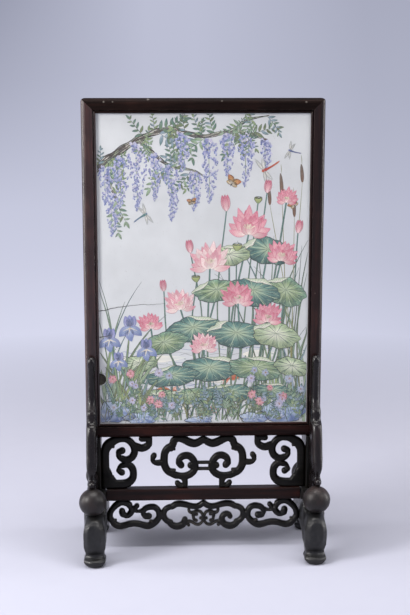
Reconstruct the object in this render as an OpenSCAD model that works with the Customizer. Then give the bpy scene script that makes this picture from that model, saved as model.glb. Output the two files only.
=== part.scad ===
// Table screen: a porcelain plaque in a mitred hardwood frame, which lifts out of a carved stand.
// The ground is z = 0, the front faces -Y, and the origin is under the middle of the stand.

/* [Framed plaque] */
// Width of the frame over its stiles
frame_w = 322; // [310:1:330]
// Height of the frame over its rails
frame_h = 460; // [400:5:520]
// Depth of the frame from front to back
frame_d = 22; // [21:0.5:24]
// Face width of the rails and stiles
face_w = 19.5; // [18:0.5:21]
// Radius of the round-over along the outer front edge
edge_r = 7; // [4:0.5:8]
// Radius of the bead that runs round the plaque
sight_bead_r = 1.6; // [1.2:0.1:2]
// Thickness of the lip that holds the plaque from the front
lip_t = 4; // [3.5:0.5:5]
// Width of the rabbet behind the lip
rabbet_w = 6; // [5:0.5:7]
// Thickness of the porcelain plaque
plaque_t = 5.5; // [4:0.5:6]
// Thickness of the packing sheet behind the plaque
packing_t = 1; // [0.5:0.5:1.5]
// Thickness of the backing board
board_t = 7; // [5:0.5:7.5]

/* [Stand] */
// Height at which the frame sits on the posts
seat_z = 161; // [155:1:170]
// Height of the lower rail's top
rail_top = 86; // [84:1:88]
// Height of the lower rail itself
rail_h = 16.5; // [14:0.5:18]
// Depth of the lower rail
rail_d = 16; // [13:0.5:18]
// Distance of the posts and the front balls from the middle
side_x = 151; // [149:0.5:153]
// Width of a post seen from the front
post_w = 19; // [17:0.5:20]
// Thickness of the pierced boards
board_d = 10; // [8:0.5:12]

/* [Feet, balls and spandrels] */
// Distance of the feet from the middle
foot_x = 149; // [148:0.5:151]
// Width of a foot at its knee
foot_w = 29.5; // [28:0.5:31]
// Diameter of a ball
ball_d = 37.2; // [35:0.2:38]
// Distance of a ball from the middle of the foot
ball_y = 58; // [57:0.5:60]
// Height at which a ball sits
ball_seat_z = 68.5; // [67:0.5:70]
// Height of a spandrel over the foot
spandrel_h = 191; // [180:1:200]
// How far the spandrels stand outside the balls
spandrel_out = 1.4; // [0:0.1:2]
// How far the rear balls and spandrels stand inside the front ones
rear_in = 3; // [0:0.5:4]

/* [Carving] */
// Whether the inner curl on the left of the apron has broken off
curl_lost = true; // [true, false]

/* [Hidden] */
$fn = 64;

// Woods and glaze as they look
red_wood = [0.20, 0.11, 0.09];
black_wood = [0.16, 0.16, 0.14];
pale_wood = [0.55, 0.42, 0.30];
glaze = [0.90, 0.91, 0.92];
brass = [0.72, 0.58, 0.30];

// Fits: a sliding gap for the lift-out frame, an easy gap for the plaque, a tight one for pegs
slide_gap = 0.4;
loose_gap = 0.5;
peg_gap = 0.05;
over = 1;

// Sides of the frame, in the order of the side numbers
bottom = 0;
right = 1;
top = 2;
left = 3;
side_len = [frame_w, frame_h, frame_w, frame_h];
side_half = [frame_h / 2, frame_w / 2, frame_h / 2, frame_w / 2];
frame_mid_z = seat_z + frame_h / 2;
corner_r = 5;
back_r = 3;
quirk = 0.8;

// Depths behind the frame's front face
plaque_v = lip_t;
packing_v = plaque_v + plaque_t;
board_v = packing_v + packing_t;
bead_v = board_v + board_t;
bead_t = frame_d - bead_v;
rabbet_u = face_w - rabbet_w;
insert_w = frame_w - 2 * rabbet_u - 2 * loose_gap;
insert_h = frame_h - 2 * rabbet_u - 2 * loose_gap;

// Hidden tenons of the frame's corners, and the pegs through them
tenon_u = [4, 11];
tenon_v = [8, 15];
tenon_len = 6;
corner_peg_d = 4;
corner_peg_u = 7.5;
corner_peg_in = 13;
pin_d = 1.4;
pin_head_d = 2.6;
pin_head_t = 1;
pin_len = 9;
pin_sink = 1.2;
pin_tilt = 40;
pin_across = [-0.36, 0, 0.36];
pin_upright = [-0.39, -0.13, 0.13, 0.39];

// Short tenons on the posts that locate the lift-out frame, and the tenons that hold the stand
locator = [7, 8, 6];
locator_in = 5;
post_tenon = [10, 12, 18];
post_r = 2;
rail_tenon = [8, 9, 9];
rail_r = 1.6;

spandrel_x = side_x + spandrel_out;
ball_r = ball_d / 2;
ball_flat_r = 6.3;
ball_z = ball_seat_z + sqrt(ball_r * ball_r - ball_flat_r * ball_flat_r);
ball_dowel_d = 6;
ball_dowel_len = 26;
peg_d = 3;
peg_len = 12;
spandrel_peg_d = 4;
spandrel_peg_len = 14;
spandrel_peg_z = [18, 58];

// Opening for the pierced work, and the sizes at which its scrolls are drawn
opening_half = side_x - post_w / 2;
opening_h = seat_z - rail_top;
drawn_half = 141.5;
drawn_h = 75;
rail_bottom = rail_top - rail_h;
apron_half = foot_x - foot_w / 2;
apron_drawn_half = 134.25;
top_gap = 0.3;

// Smooth curve through points, where any further columns such as widths are carried along
curve_steps = 4;
function between(a, b, c, d, t) =
    (2 * b + (c - a) * t + (2 * a - 5 * b + 4 * c - d) * t * t
        + (3 * b - a - 3 * c + d) * t * t * t) / 2;
function curve(p) =
    let (n = len(p) - 1)
    concat(
        [for (i = [0 : n - 1]) for (k = [0 : curve_steps - 1])
            between(p[max(i - 1, 0)], p[i], p[i + 1], p[min(i + 2, n)], k / curve_steps)],
        [p[n]]
    );
function flat(p) = [p[0], p[1]];
function unit(v) = v / norm(v);
function normal_at(c, i) =
    let (d = unit(flat(c[min(i + 1, len(c) - 1)]) - flat(c[max(i - 1, 0)])))
    [-d[1], d[0]];
function edge(c, s) = [for (i = [0 : len(c) - 1]) flat(c[i]) + s * normal_at(c, i) * c[i][2] / 2];
function backwards(p) = [for (i = [len(p) - 1 : -1 : 0]) p[i]];

// Half circle that rounds off the last point of a band
cap_steps = 6;
function cap(c) =
    let (n = len(c) - 1, v = normal_at(c, n), start = atan2(v[1], v[0]))
    [for (k = [1 : cap_steps - 1])
        let (turn = start - 180 * k / cap_steps)
        flat(c[n]) + c[n][2] / 2 * [cos(turn), sin(turn)]];

// A carved band: each point is [across, up, width of the band]
module band(p) {
    c = curve(p);
    polygon(concat(edge(c, 1), cap(c), backwards(edge(c, -1))));
}

// Draws in the upright plane, centred on y = 0 and t thick
module upright(t) {
    translate([0, t / 2, 0]) rotate([90, 0, 0]) linear_extrude(t) children();
}

// Draws a side profile, [forwards, up], t thick and centred on x = 0
module sideways(t) {
    translate([-t / 2, 0, 0]) rotate([90, 0, 90]) linear_extrude(t) mirror([1, 0]) children();
}

module both_sides() {
    children();
    mirror([1, 0, 0]) children();
}

// Draws at the four corners of the stand, where the rear ones stand further in
module four_ways() {
    both_sides() {
        children();
        rear() children();
    }
}

module rear() {
    translate([-rear_in, 0, 0]) mirror([0, 1, 0]) children();
}

// Frame: a member lies along its own z axis, with x from its outer edge and y from its front
module on_side(k) {
    translate([0, 0, frame_mid_z]) rotate([0, -90 * (k + 1), 0])
        translate([-side_half[k], -frame_d / 2, 0]) children();
}

module mitred(k) {
    half = side_len[k] / 2;
    intersection() {
        translate([0, 0, -half]) linear_extrude(2 * half) children();
        translate([0, frame_d, 0]) rotate([90, 0, 0]) linear_extrude(frame_d)
            polygon([[0, -half], [0, half], [face_w, half - face_w], [face_w, face_w - half]]);
    }
}

// What a square corner loses to a round-over of radius r
module corner_waste(r) {
    difference() {
        translate([-over, -over]) square(r + over);
        translate([r, r]) circle(r);
    }
}

module frame_section() {
    bead_w = 2 * sight_bead_r;
    difference() {
        square([face_w, frame_d]);
        corner_waste(edge_r);
        translate([0, frame_d]) mirror([0, 1]) corner_waste(back_r);
        translate([face_w - bead_w - quirk, -over])
            square([bead_w + quirk + over, quirk + sight_bead_r + over]);
        translate([rabbet_u, lip_t]) square([rabbet_w + over, frame_d]);
    }
    translate([face_w - sight_bead_r, quirk + sight_bead_r]) circle(sight_bead_r);
}

module rounded_outline() {
    translate([0, frame_mid_z]) difference() {
        translate([-frame_w / 2, -frame_h / 2]) square([frame_w, frame_h]);
        for (sx = [0, 1], sz = [0, 1]) mirror([sx, 0]) mirror([0, sz])
            translate([-frame_w / 2, -frame_h / 2]) corner_waste(corner_r);
    }
}

module corner_peg_places(d) {
    x = frame_w / 2 - corner_peg_u;
    z = frame_h / 2 - corner_peg_u;
    for (sx = [-1, 1], sz = [-1, 1]) translate([sx * x, frame_d / 2, frame_mid_z + sz * z])
        rotate([90, 0, 0]) cylinder(d = d, h = corner_peg_in);
}

module pin_places(k) {
    shares = k % 2 == 0 ? pin_across : pin_upright;
    for (s = shares) translate([rabbet_u + rabbet_w / 2, frame_d, s * side_len[k]])
        rotate([90, 0, 0]) rotate([0, -pin_tilt, 0]) children();
}

// A pin starts below the surface, so that its head stays clear of the spandrels
module pin() {
    translate([0, 0, pin_sink]) {
        cylinder(d = pin_d, h = pin_len - pin_sink);
        cylinder(d = pin_head_d, h = pin_head_t);
    }
}

module pin_hole() {
    cylinder(d = pin_d + peg_gap, h = pin_len);
    translate([0, 0, -over]) cylinder(d = pin_head_d + peg_gap, h = over + pin_sink + pin_head_t);
}

// Tenon block at both ends of a rail, grown by a gap where it is a mortise
module corner_tenons(gap) {
    for (sz = [-1, 1], sx = [-1, 1]) {
        z = sz * (frame_h / 2 - (tenon_u[0] + tenon_u[1]) / 2);
        x = sx * (frame_w / 2 - tenon_u[1] + tenon_len / 2);
        translate([x, (tenon_v[0] + tenon_v[1]) / 2 - frame_d / 2, frame_mid_z + z])
            cube([tenon_len + gap, tenon_v[1] - tenon_v[0] + gap, tenon_u[1] - tenon_u[0] + gap],
                center = true);
    }
}

// Block that takes the tenons of one rail only
module half_space(k) {
    s = k == top ? 1 : -1;
    translate([-frame_w, -frame_d, frame_mid_z + (s < 0 ? -frame_h : 0)])
        cube([2 * frame_w, 2 * frame_d, frame_h]);
}

module locators(gap) {
    both_sides() translate([opening_half + locator_in, 0, seat_z + (locator[2] + gap) / 2 - over / 2])
        cube([locator[0] + gap, locator[1] + gap, locator[2] + gap + over], center = true);
}

module frame_rail(k) {
    color(red_wood) difference() {
        union() {
            intersection() {
                on_side(k) mitred(k) frame_section();
                upright(2 * frame_d) rounded_outline();
            }
            intersection() {
                corner_tenons(0);
                half_space(k);
            }
        }
        corner_peg_places(corner_peg_d + peg_gap);
        on_side(k) pin_places(k) pin_hole();
        if (k == bottom) locators(2 * top_gap);
    }
}

module frame_stile(k) {
    color(red_wood) difference() {
        intersection() {
            on_side(k) mitred(k) frame_section();
            upright(2 * frame_d) rounded_outline();
        }
        corner_tenons(peg_gap);
        corner_peg_places(corner_peg_d + peg_gap);
        on_side(k) pin_places(k) pin_hole();
    }
}

module corner_pegs() {
    color(pale_wood) corner_peg_places(corner_peg_d);
}

// Pieces laid into the frame from behind
module insert(v, t) {
    translate([0, v - frame_d / 2 + t / 2, frame_mid_z]) cube([insert_w, t, insert_h], center = true);
}

module porcelain_plaque() {
    color(glaze) insert(plaque_v, plaque_t);
}

module packing_sheet() {
    color("tan") insert(packing_v, packing_t);
}

module backing_board() {
    color(red_wood) insert(board_v, board_t);
}

module rear_bead(k) {
    color(red_wood) difference() {
        on_side(k) mitred(k) difference() {
            translate([rabbet_u, bead_v]) square([rabbet_w, bead_t]);
            translate([face_w, frame_d]) mirror([1, 0]) mirror([0, 1]) corner_waste(back_r);
        }
        on_side(k) pin_places(k) pin_hole();
    }
}

module bead_pins() {
    color(brass) for (k = [bottom, right, top, left]) on_side(k) pin_places(k) pin();
}

// Posts and lower rail
module rounded_bar(w, d, r) {
    difference() {
        translate([-w / 2, -d / 2]) square([w, d]);
        for (sx = [0, 1], sy = [0, 1]) mirror([sx, 0]) mirror([0, sy])
            translate([-w / 2, -d / 2]) corner_waste(r);
    }
}

module spandrel_peg_places(gap) {
    four_ways() for (z = spandrel_peg_z)
        translate([spandrel_x, (spandrel_peg_len - frame_d) / 2, rail_top + z]) rotate([90, 0, 0])
            cylinder(d = spandrel_peg_d + gap, h = spandrel_peg_len);
}

// Pegs that hold the pierced work: into the posts, and down into the lower rail
stem_peg_z = [16, 46];
bracket_foot_x = 118;
cloud_foot_x = 27;
module openwork_peg_places(gap) {
    both_sides() {
        for (z = stem_peg_z) translate([opening_half - peg_len / 2, 0, rail_top + z])
            rotate([0, 90, 0]) cylinder(d = peg_d + gap, h = peg_len);
        for (x = [bracket_foot_x, cloud_foot_x]) translate([x, 0, rail_top - peg_len / 2])
            cylinder(d = peg_d + gap, h = peg_len);
    }
}

apron_crest_x = 113;
apron_end_z = 22;
module apron_peg_places(gap) {
    both_sides() {
        translate([apron_crest_x, 0, rail_bottom - peg_len / 2]) cylinder(d = peg_d + gap, h = peg_len);
        translate([apron_half - peg_len / 2, 0, rail_bottom - apron_end_z])
            rotate([0, 90, 0]) cylinder(d = peg_d + gap, h = peg_len);
    }
}

module post_tenon_block(gap) {
    translate([0, 0, -post_tenon[2] / 2 + over / 2])
        cube([post_tenon[0] + gap, post_tenon[1] + gap, post_tenon[2] + gap + over], center = true);
}

module post() {
    color(red_wood) difference() {
        union() {
            translate([side_x, 0, rail_top]) linear_extrude(opening_h) rounded_bar(post_w, frame_d, post_r);
            translate([side_x, 0, rail_top]) post_tenon_block(0);
            intersection() {
                locators(0);
                translate([0, -frame_d, 0]) cube([frame_w, 2 * frame_d, 2 * frame_h]);
            }
        }
        spandrel_peg_places(peg_gap);
        openwork_peg_places(peg_gap);
    }
}

module left_post() {
    mirror([1, 0, 0]) post();
}

module right_post() {
    post();
}

module rail_tenons(gap) {
    both_sides() translate([apron_half + rail_tenon[0] / 2 - over / 2, 0, rail_top - rail_h / 2])
        cube([rail_tenon[0] + over, rail_tenon[1] + gap, rail_tenon[2] + gap], center = true);
}

module lower_rail() {
    color(red_wood) difference() {
        union() {
            translate([-apron_half, 0, rail_top - rail_h / 2]) rotate([90, 0, 90])
                linear_extrude(2 * apron_half) rounded_bar(rail_d, rail_h, rail_r);
            rail_tenons(0);
        }
        openwork_peg_places(peg_gap);
        apron_peg_places(peg_gap);
    }
}

// Foot: half of its side outline, [forwards from the middle, up], from the top round to the arch
foot_cove = [[28, 86], [33, 84], [37.5, 78], [42.5, 71.5], [48, 68.8], [52, 68.5]];
foot_toe = [
    [66, 68.5], [73, 66], [79, 61.5], [82, 56], [82.6, 48], [81, 38], [77, 28], [74, 20.5],
    [73.2, 15.5], [75, 12], [79, 9.5], [80.8, 6.5], [79.8, 2.6], [76.5, 0]
];
foot_inside = [
    [58, 0], [56.5, 4], [57, 8], [55, 11.5], [49, 12.8], [43, 15], [40, 20], [41, 25.5], [37.5, 30],
    [29, 32.6], [15, 33.6], [0, 33.8]
];
foot_side = concat([[0, 86]], curve(foot_cove), curve(foot_toe), curve(foot_inside));
// Half of its front outline, [sideways from the middle, up]
foot_drawn_w = 29.5;
foot_front = curve([
    [12.2, 87], [14.2, 74], [14.65, 58], [14.65, 45], [14.5, 33], [13.2, 23.5], [12.1, 17], [12.7, 12],
    [14.2, 9.5], [14.65, 7], [14, 3.6], [12.2, 1], [10.8, 0]
]);

module mirrored_outline(p) {
    polygon(concat(p, [for (q = backwards(p)) [-q[0], q[1]]]));
}

module foot() {
    lift = rail_top - foot_side[0][1];
    color(black_wood) difference() {
        translate([foot_x, 0, lift]) intersection() {
            sideways(2 * foot_w) mirrored_outline(foot_side);
            upright(4 * ball_y) scale(foot_w / foot_drawn_w) mirrored_outline(foot_front);
        }
        translate([side_x, 0, rail_top]) post_tenon_block(peg_gap);
        rail_tenons(peg_gap);
        apron_peg_places(peg_gap);
        ball_dowel_places(peg_gap);
    }
}

module left_foot() {
    mirror([1, 0, 0]) foot();
}

module right_foot() {
    foot();
}

// Balls
module ball_dowel_places(gap) {
    four_ways() translate([side_x, -ball_y, ball_seat_z - ball_dowel_len / 2])
        cylinder(d = ball_dowel_d + gap, h = ball_dowel_len);
}

module ball() {
    color(black_wood) difference() {
        translate([side_x, -ball_y, ball_z]) sphere(ball_r);
        translate([side_x - ball_r, -ball_y - ball_r, ball_seat_z - ball_d]) cube(ball_d);
        ball_dowel_places(peg_gap);
    }
}

// Spandrel: front edge of its side outline, [forwards from the frame's face, up from the foot]
spandrel_edge = [
    [slide_gap, 188.5], [4.5, 191], [9.8, 188], [11.5, 181.5], [9.6, 175], [9, 160], [9.4, 144], [11.5, 130],
    [17, 121.5], [21.6, 115.5], [22.8, 107.5], [25, 103], [31, 99.5], [35.3, 91], [38.6, 78], [42, 63],
    [45.6, 50], [46.5, 41], [44.5, 35], [43, 30.5], [43.5, 26]
];
spandrel_heel = [[38, 22], [32, 17.5], [28.3, 10], [27, 0], [slide_gap, 0]];
spandrel_half_w = curve([
    [6.2, -1], [6.6, 20], [4.4, 27], [4.3, 33], [6, 40], [6.9, 52], [6.9, 98], [6.2, 104], [6.6, 114],
    [5.6, 126], [5, 145], [4.6, 170], [5.2, 178], [5, 186], [2.8, 192]
]);
spandrel_bead_r = 5.3;
spandrel_bead_p = 46.5;
spandrel_drawn_h = 191;

module spandrel() {
    k = spandrel_h / spandrel_drawn_h;
    face_y = -frame_d / 2;
    color(black_wood) difference() {
        translate([spandrel_x, face_y, rail_top]) {
            intersection() {
                sideways(4 * spandrel_bead_r) polygon([
                    for (p = concat(curve(spandrel_edge), spandrel_heel)) [p[0], p[1] * k]
                ]);
                translate([0, -2 * ball_y, 0]) upright(8 * ball_y)
                    mirrored_outline([for (p = spandrel_half_w) [p[0], p[1] * k]]);
            }
            translate([0, -spandrel_bead_p, ball_z + ball_r - rail_top + spandrel_bead_r - top_gap])
                sphere(spandrel_bead_r);
        }
        translate([side_x, -ball_y, ball_z]) sphere(ball_r + peg_gap);
        spandrel_peg_places(peg_gap);
    }
}

// Pierced work: bands are drawn for the left half, [from the middle, up from the lower rail, width]
function fitted(p, kx, kz) = [for (q = p) [q[0] * kx, q[1] * kz, q[2] * min(kx, kz)]];

bracket_bands = [
    [
        [-136.3, -1, 10.8], [-136.3, 18, 11.2], [-136.3, 36, 10.8], [-136, 52, 11.2], [-133, 60.8, 13],
        [-126.6, 66.6, 12], [-118.5, 70.4, 9.4], [-109, 71, 8.6], [-101.5, 67.2, 8.6], [-96.6, 60, 8.8],
        [-95.4, 52, 9.3], [-98.8, 44.6, 9.3], [-105.5, 41, 8.5], [-112.5, 42.3, 8.2], [-117.2, 47, 7],
        [-117, 51.6, 5.8], [-112.8, 53.9, 6.6]
    ],
    [
        [-138, 5.5, 11], [-126, 5.6, 11.5], [-114, 5.6, 11.5], [-105, 7.6, 11], [-98.8, 13.5, 9.8],
        [-97.3, 21, 9.2], [-98.8, 28.5, 9.2], [-104, 33.6, 8.5], [-110.4, 33.4, 7.6], [-115.6, 30.4, 6.2],
        [-117, 25.6, 5], [-113.6, 22.6, 6]
    ],
    [[-135.4, 28, 7], [-132.4, 21, 10.4], [-131.8, 12.5, 10.6]],
    [[-123.6, 7.5, 9.4], [-125.4, 12.6, 6.2], [-126, 16.6, 3]],
    [[-128, 62.6, 6], [-124.6, 59.8, 3.4]],
    [
        [-99, 62, 9], [-92, 59.3, 9.5], [-85.5, 57.3, 9.5], [-79, 59.5, 9], [-75.3, 64.5, 8.8],
        [-75.5, 76, 8.8]
    ],
    [[-76, 71.4, 6.2], [-85, 71, 6.6]]
];

cloud_bands = [
    [
        [1, 70.5, 8], [-5.5, 65.8, 9.4], [-12, 63.4, 10.2], [-19, 65, 10.5], [-27, 69, 10], [-34, 71, 9],
        [-40, 68.5, 9.5], [-42.6, 62, 9.5], [-45, 57, 9]
    ],
    [
        [-42.5, 60.5, 9], [-49.5, 56.6, 9.5], [-53.6, 50, 9.6], [-54.6, 42, 9.8], [-54.2, 34, 9.8],
        [-51.8, 27.4, 9.6], [-47.5, 22.5, 9.4], [-43, 20.5, 9]
    ],
    [
        [-45.5, 21.2, 8.4], [-40, 18.3, 8.8], [-33, 16.2, 9], [-26, 16.3, 9], [-19.5, 18.3, 9],
        [-14.4, 22.5, 9.2], [-11.8, 28.5, 9.4], [-12, 34, 9.2], [-14.4, 40, 9], [-19, 44.8, 9],
        [-25.2, 46, 9], [-31.3, 43.3, 8.6], [-34.2, 37.5, 7.6], [-31.2, 32.2, 7.2]
    ],
    [[-57, 36.5, 8], [-64.3, 35.8, 7], [-69, 38, 6.2], [-71, 42, 5.3], [-68.6, 46.4, 5.2]],
    [[-26.8, 15, 9], [-26.4, 7, 8.6], [-27, -1, 9.5]],
    [[-27, 3, 6], [-33, 3.2, 5.6], [-36.2, 6.4, 4.8]],
    [[-12, 31.4, 8.4], [-17.6, 31.6, 7.6]],
    [[-45, 58.6, 6], [-40.4, 55.6, 3.2]],
    [[-44.5, 24, 6], [-40.2, 25.2, 3.2]]
];
cusp = [[0, 76], [-4.6, 69.6], [0, 63.4], [4.6, 69.6]];
// Link between the inner scrolls, half of its sizes, and the window through it
link_z = 31.3;
link_half = [14.4, 6.2];
link_window = [10, 2.8];

// Apron: heights are measured down from the lower rail
apron_bands = [
    [
        [-130, -27, 7], [-127, -32.7, 7.6], [-123, -37, 8.4], [-117, -39.4, 8.2], [-110, -38.2, 8],
        [-104, -36.4, 8], [-97, -35.6, 8], [-90, -36.5, 8], [-84, -38.3, 8.2], [-77.5, -39.3, 8.8],
        [-72, -37.2, 8.8], [-66.5, -33, 8.2], [-62.6, -27.5, 7.6], [-62, -21.5, 7.6], [-64.2, -15.5, 7.5],
        [-69, -12, 7.5], [-75.3, -11.8, 7.5], [-81.6, -14.2, 7.2], [-84.2, -19.4, 6.8], [-82.2, -24.4, 6],
        [-76.8, -25, 6.8]
    ],
    [
        [-129.8, -31, 6.8], [-130.8, -24, 7.4], [-128.6, -16.2, 7.2], [-122.6, -9, 8], [-116.2, -4.6, 8.6],
        [-109.8, -4.4, 8.6], [-104, -7.8, 8], [-100.4, -13.5, 7.8], [-101.2, -19.3, 7.8], [-106.2, -23.4, 7.6],
        [-112, -22.2, 6.6], [-113.6, -17.4, 6.4]
    ],
    [[-127, -33.4, 6], [-122.8, -30.4, 3.2]],
    [[-70, -34.4, 6], [-74.4, -31.8, 3.2]],
    [[-99, -16, 5], [-92.5, -17.3, 4.4], [-86, -16.5, 5]],
    [[-94.2, -16.5, 4.4], [-95, -12.6, 4.6], [-93, -9.8, 5]],
    [
        [1, -5.5, 7.4], [-5, -10, 7.2], [-11, -11.6, 7], [-18, -10.8, 7], [-25, -8.8, 7.5], [-32, -7.6, 7.8],
        [-38.5, -8.3, 7.8], [-44, -11.8, 7]
    ],
    [
        [-41.5, -11, 6.6], [-48.5, -12.6, 7], [-53.6, -16.2, 7.2], [-55.7, -22, 7.4], [-54.5, -28, 7.4],
        [-50.5, -32.8, 7.4], [-46, -34.5, 7]
    ],
    [[-19.8, -11.5, 3.6], [-20.4, -17.5, 3.6], [-17.6, -20.6, 3.6], [-13, -20.4, 3.6]],
    [
        [-7, -17.9, 3.2], [-11.6, -19, 3.6], [-14.4, -23, 3.8], [-14, -27, 3.6], [-13.2, -30.6, 3.4],
        [-9.8, -32.4, 3.4]
    ],
    [
        [-9, -18, 3.2], [-3.8, -19.8, 3.2], [-1.2, -24.4, 3.2], [-0.9, -29.5, 3.2], [-2.2, -34.5, 3.2],
        [-6.2, -38, 3.2], [-11, -37.6, 3.2], [-15.2, -35, 3.2], [-19.5, -33.3, 3.6], [-24.5, -34.2, 4]
    ],
    [[-14, -22.6, 4], [-9.4, -23, 3.8]],
    [[-1, -28.4, 3.6], [-4.2, -29, 3.4]],
    [[-24, -34.5, 4], [-20.8, -38.8, 3.8]]
];
apron_curl = [
    [-49, -32.8, 7.4], [-45, -37.8, 8], [-39, -40.6, 8.8], [-33, -40, 8.8], [-28, -36.6, 8.5], [-26, -31, 8],
    [-27.3, -25.8, 7.4], [-31.5, -23, 7.2], [-35.4, -23.9, 6.8], [-37.2, -26.8, 6.8]
];
apron_cusp = [[0, -1.6], [-5, -6.5], [0, -10.6], [5, -6.5]];
curl_stub = 5;

// Each band is a solid by itself, as thick as the board
module bands(list, kx, kz) {
    for (p = list) upright(board_d) band(fitted(p, kx, kz));
}

module board_block(x0, x1, z0, z1) {
    translate([x0, -board_d, z0]) cube([x1 - x0, 2 * board_d, z1 - z0]);
}

module scroll_bracket() {
    color(black_wood) difference() {
        translate([0, 0, rail_top]) intersection() {
            bands(bracket_bands, opening_half / drawn_half, opening_h / drawn_h);
            board_block(-opening_half, 0, 0, opening_h - top_gap);
        }
        openwork_peg_places(peg_gap);
    }
}

module left_scroll_bracket() {
    scroll_bracket();
}

module right_scroll_bracket() {
    mirror([1, 0, 0]) scroll_bracket();
}

module link() {
    upright(board_d) translate([0, link_z * opening_h / drawn_h]) difference() {
        square(2 * link_half, center = true);
        square(2 * link_window, center = true);
    }
}

module cloud_panel() {
    kx = opening_half / drawn_half;
    kz = opening_h / drawn_h;
    color(black_wood) difference() {
        translate([0, 0, rail_top]) intersection() {
            union() {
                both_sides() bands(cloud_bands, kx, kz);
                upright(board_d) polygon([for (p = cusp) [p[0] * kx, p[1] * kz]]);
                link();
            }
            board_block(-opening_half, opening_half, 0, opening_h - top_gap);
        }
        openwork_peg_places(peg_gap);
    }
}

module apron_side(whole) {
    last = whole ? len(apron_curl) - 1 : curl_stub;
    k = apron_half / apron_drawn_half;
    bands(apron_bands, k, 1);
    bands([[for (i = [0 : last]) apron_curl[i]]], k, 1);
}

module apron() {
    color(black_wood) difference() {
        translate([0, 0, rail_bottom]) intersection() {
            union() {
                apron_side(!curl_lost);
                mirror([1, 0, 0]) apron_side(true);
                upright(board_d) polygon(apron_cusp);
            }
            board_block(-apron_half, apron_half, -rail_bottom, 0);
        }
        apron_peg_places(peg_gap);
    }
}

// Pegs and dowels
module ball_dowels() {
    color(pale_wood) ball_dowel_places(0);
}

module spandrel_pegs() {
    color(pale_wood) spandrel_peg_places(0);
}

module openwork_pegs() {
    color(pale_wood) openwork_peg_places(0);
}

module apron_pegs() {
    color(pale_wood) apron_peg_places(0);
}

frame_rail(top);  // frame_top_rail
frame_rail(bottom);  // frame_bottom_rail
frame_stile(left);  // frame_left_stile
frame_stile(right);  // frame_right_stile
porcelain_plaque();
packing_sheet();
backing_board();
rear_bead(top);  // rear_bead_top
rear_bead(bottom);  // rear_bead_bottom
rear_bead(left);  // rear_bead_left
rear_bead(right);  // rear_bead_right
bead_pins();
corner_pegs();
left_post();
right_post();
lower_rail();
left_foot();
right_foot();
mirror([1, 0, 0]) spandrel();  // spandrel_front_left
spandrel();  // spandrel_front_right
mirror([1, 0, 0]) rear() spandrel();  // spandrel_rear_left
rear() spandrel();  // spandrel_rear_right
mirror([1, 0, 0]) ball();  // ball_front_left
ball();  // ball_front_right
mirror([1, 0, 0]) rear() ball();  // ball_rear_left
rear() ball();  // ball_rear_right
left_scroll_bracket();
right_scroll_bracket();
cloud_panel();
apron();
ball_dowels();
spandrel_pegs();
openwork_pegs();
apron_pegs();
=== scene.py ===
import math
import random

import bmesh
import bpy
import numpy as np
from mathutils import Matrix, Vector, kdtree, noise


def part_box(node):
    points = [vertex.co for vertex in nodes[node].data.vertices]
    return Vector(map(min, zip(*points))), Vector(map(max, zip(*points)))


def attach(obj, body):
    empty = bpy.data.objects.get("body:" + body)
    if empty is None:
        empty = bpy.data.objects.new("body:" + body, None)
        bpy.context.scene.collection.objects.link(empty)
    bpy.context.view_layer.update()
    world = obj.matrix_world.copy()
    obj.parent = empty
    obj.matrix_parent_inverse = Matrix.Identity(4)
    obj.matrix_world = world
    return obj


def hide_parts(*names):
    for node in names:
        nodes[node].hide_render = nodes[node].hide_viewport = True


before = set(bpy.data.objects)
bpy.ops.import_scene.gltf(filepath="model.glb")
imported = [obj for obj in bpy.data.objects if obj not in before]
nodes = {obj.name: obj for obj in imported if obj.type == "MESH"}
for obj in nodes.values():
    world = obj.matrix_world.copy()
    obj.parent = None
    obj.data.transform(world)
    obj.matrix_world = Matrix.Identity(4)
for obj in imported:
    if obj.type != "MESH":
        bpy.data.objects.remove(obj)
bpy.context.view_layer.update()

noise.seed_set(11)  # the same surface on every run
mm = 0.001
scene = bpy.context.scene


def addObject(name, data):
    item = bpy.data.objects.new(name, data)
    scene.collection.objects.link(item)
    return item


def srgb(*seen):  # 0 to 255 as seen, to the linear values that sockets take
    parts = [tone / 255 for tone in seen]
    return tuple(p / 12.92 if p < 0.0404 else ((p + 0.055) / 1.055) ** 2.4 for p in parts)


# Shader sums: a wire is a socket that can stand in an expression
class Wire:
    def __init__(self, shading, socket):
        self.shading = shading
        self.socket = socket

    def maths(self, operation, other=0.0, flip=False, clamp=False):
        pair = (other, self) if flip else (self, other)
        settings = {"operation": operation, "use_clamp": clamp}
        return self.shading.add("Math", settings, {0: pair[0], 1: pair[1]})

    def __add__(self, other):
        return self.maths("ADD", other)

    def __sub__(self, other):
        return self.maths("SUBTRACT", other)

    def __rsub__(self, other):
        return self.maths("SUBTRACT", other, flip=True)

    def __mul__(self, other):
        return self.maths("MULTIPLY", other)

    __radd__ = __add__
    __rmul__ = __mul__

    def between(self, low, high):  # 0 at low, 1 at high, clamped
        return ((self - low) * (1 / (high - low))).maths("ADD", 0.0, clamp=True)


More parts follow.
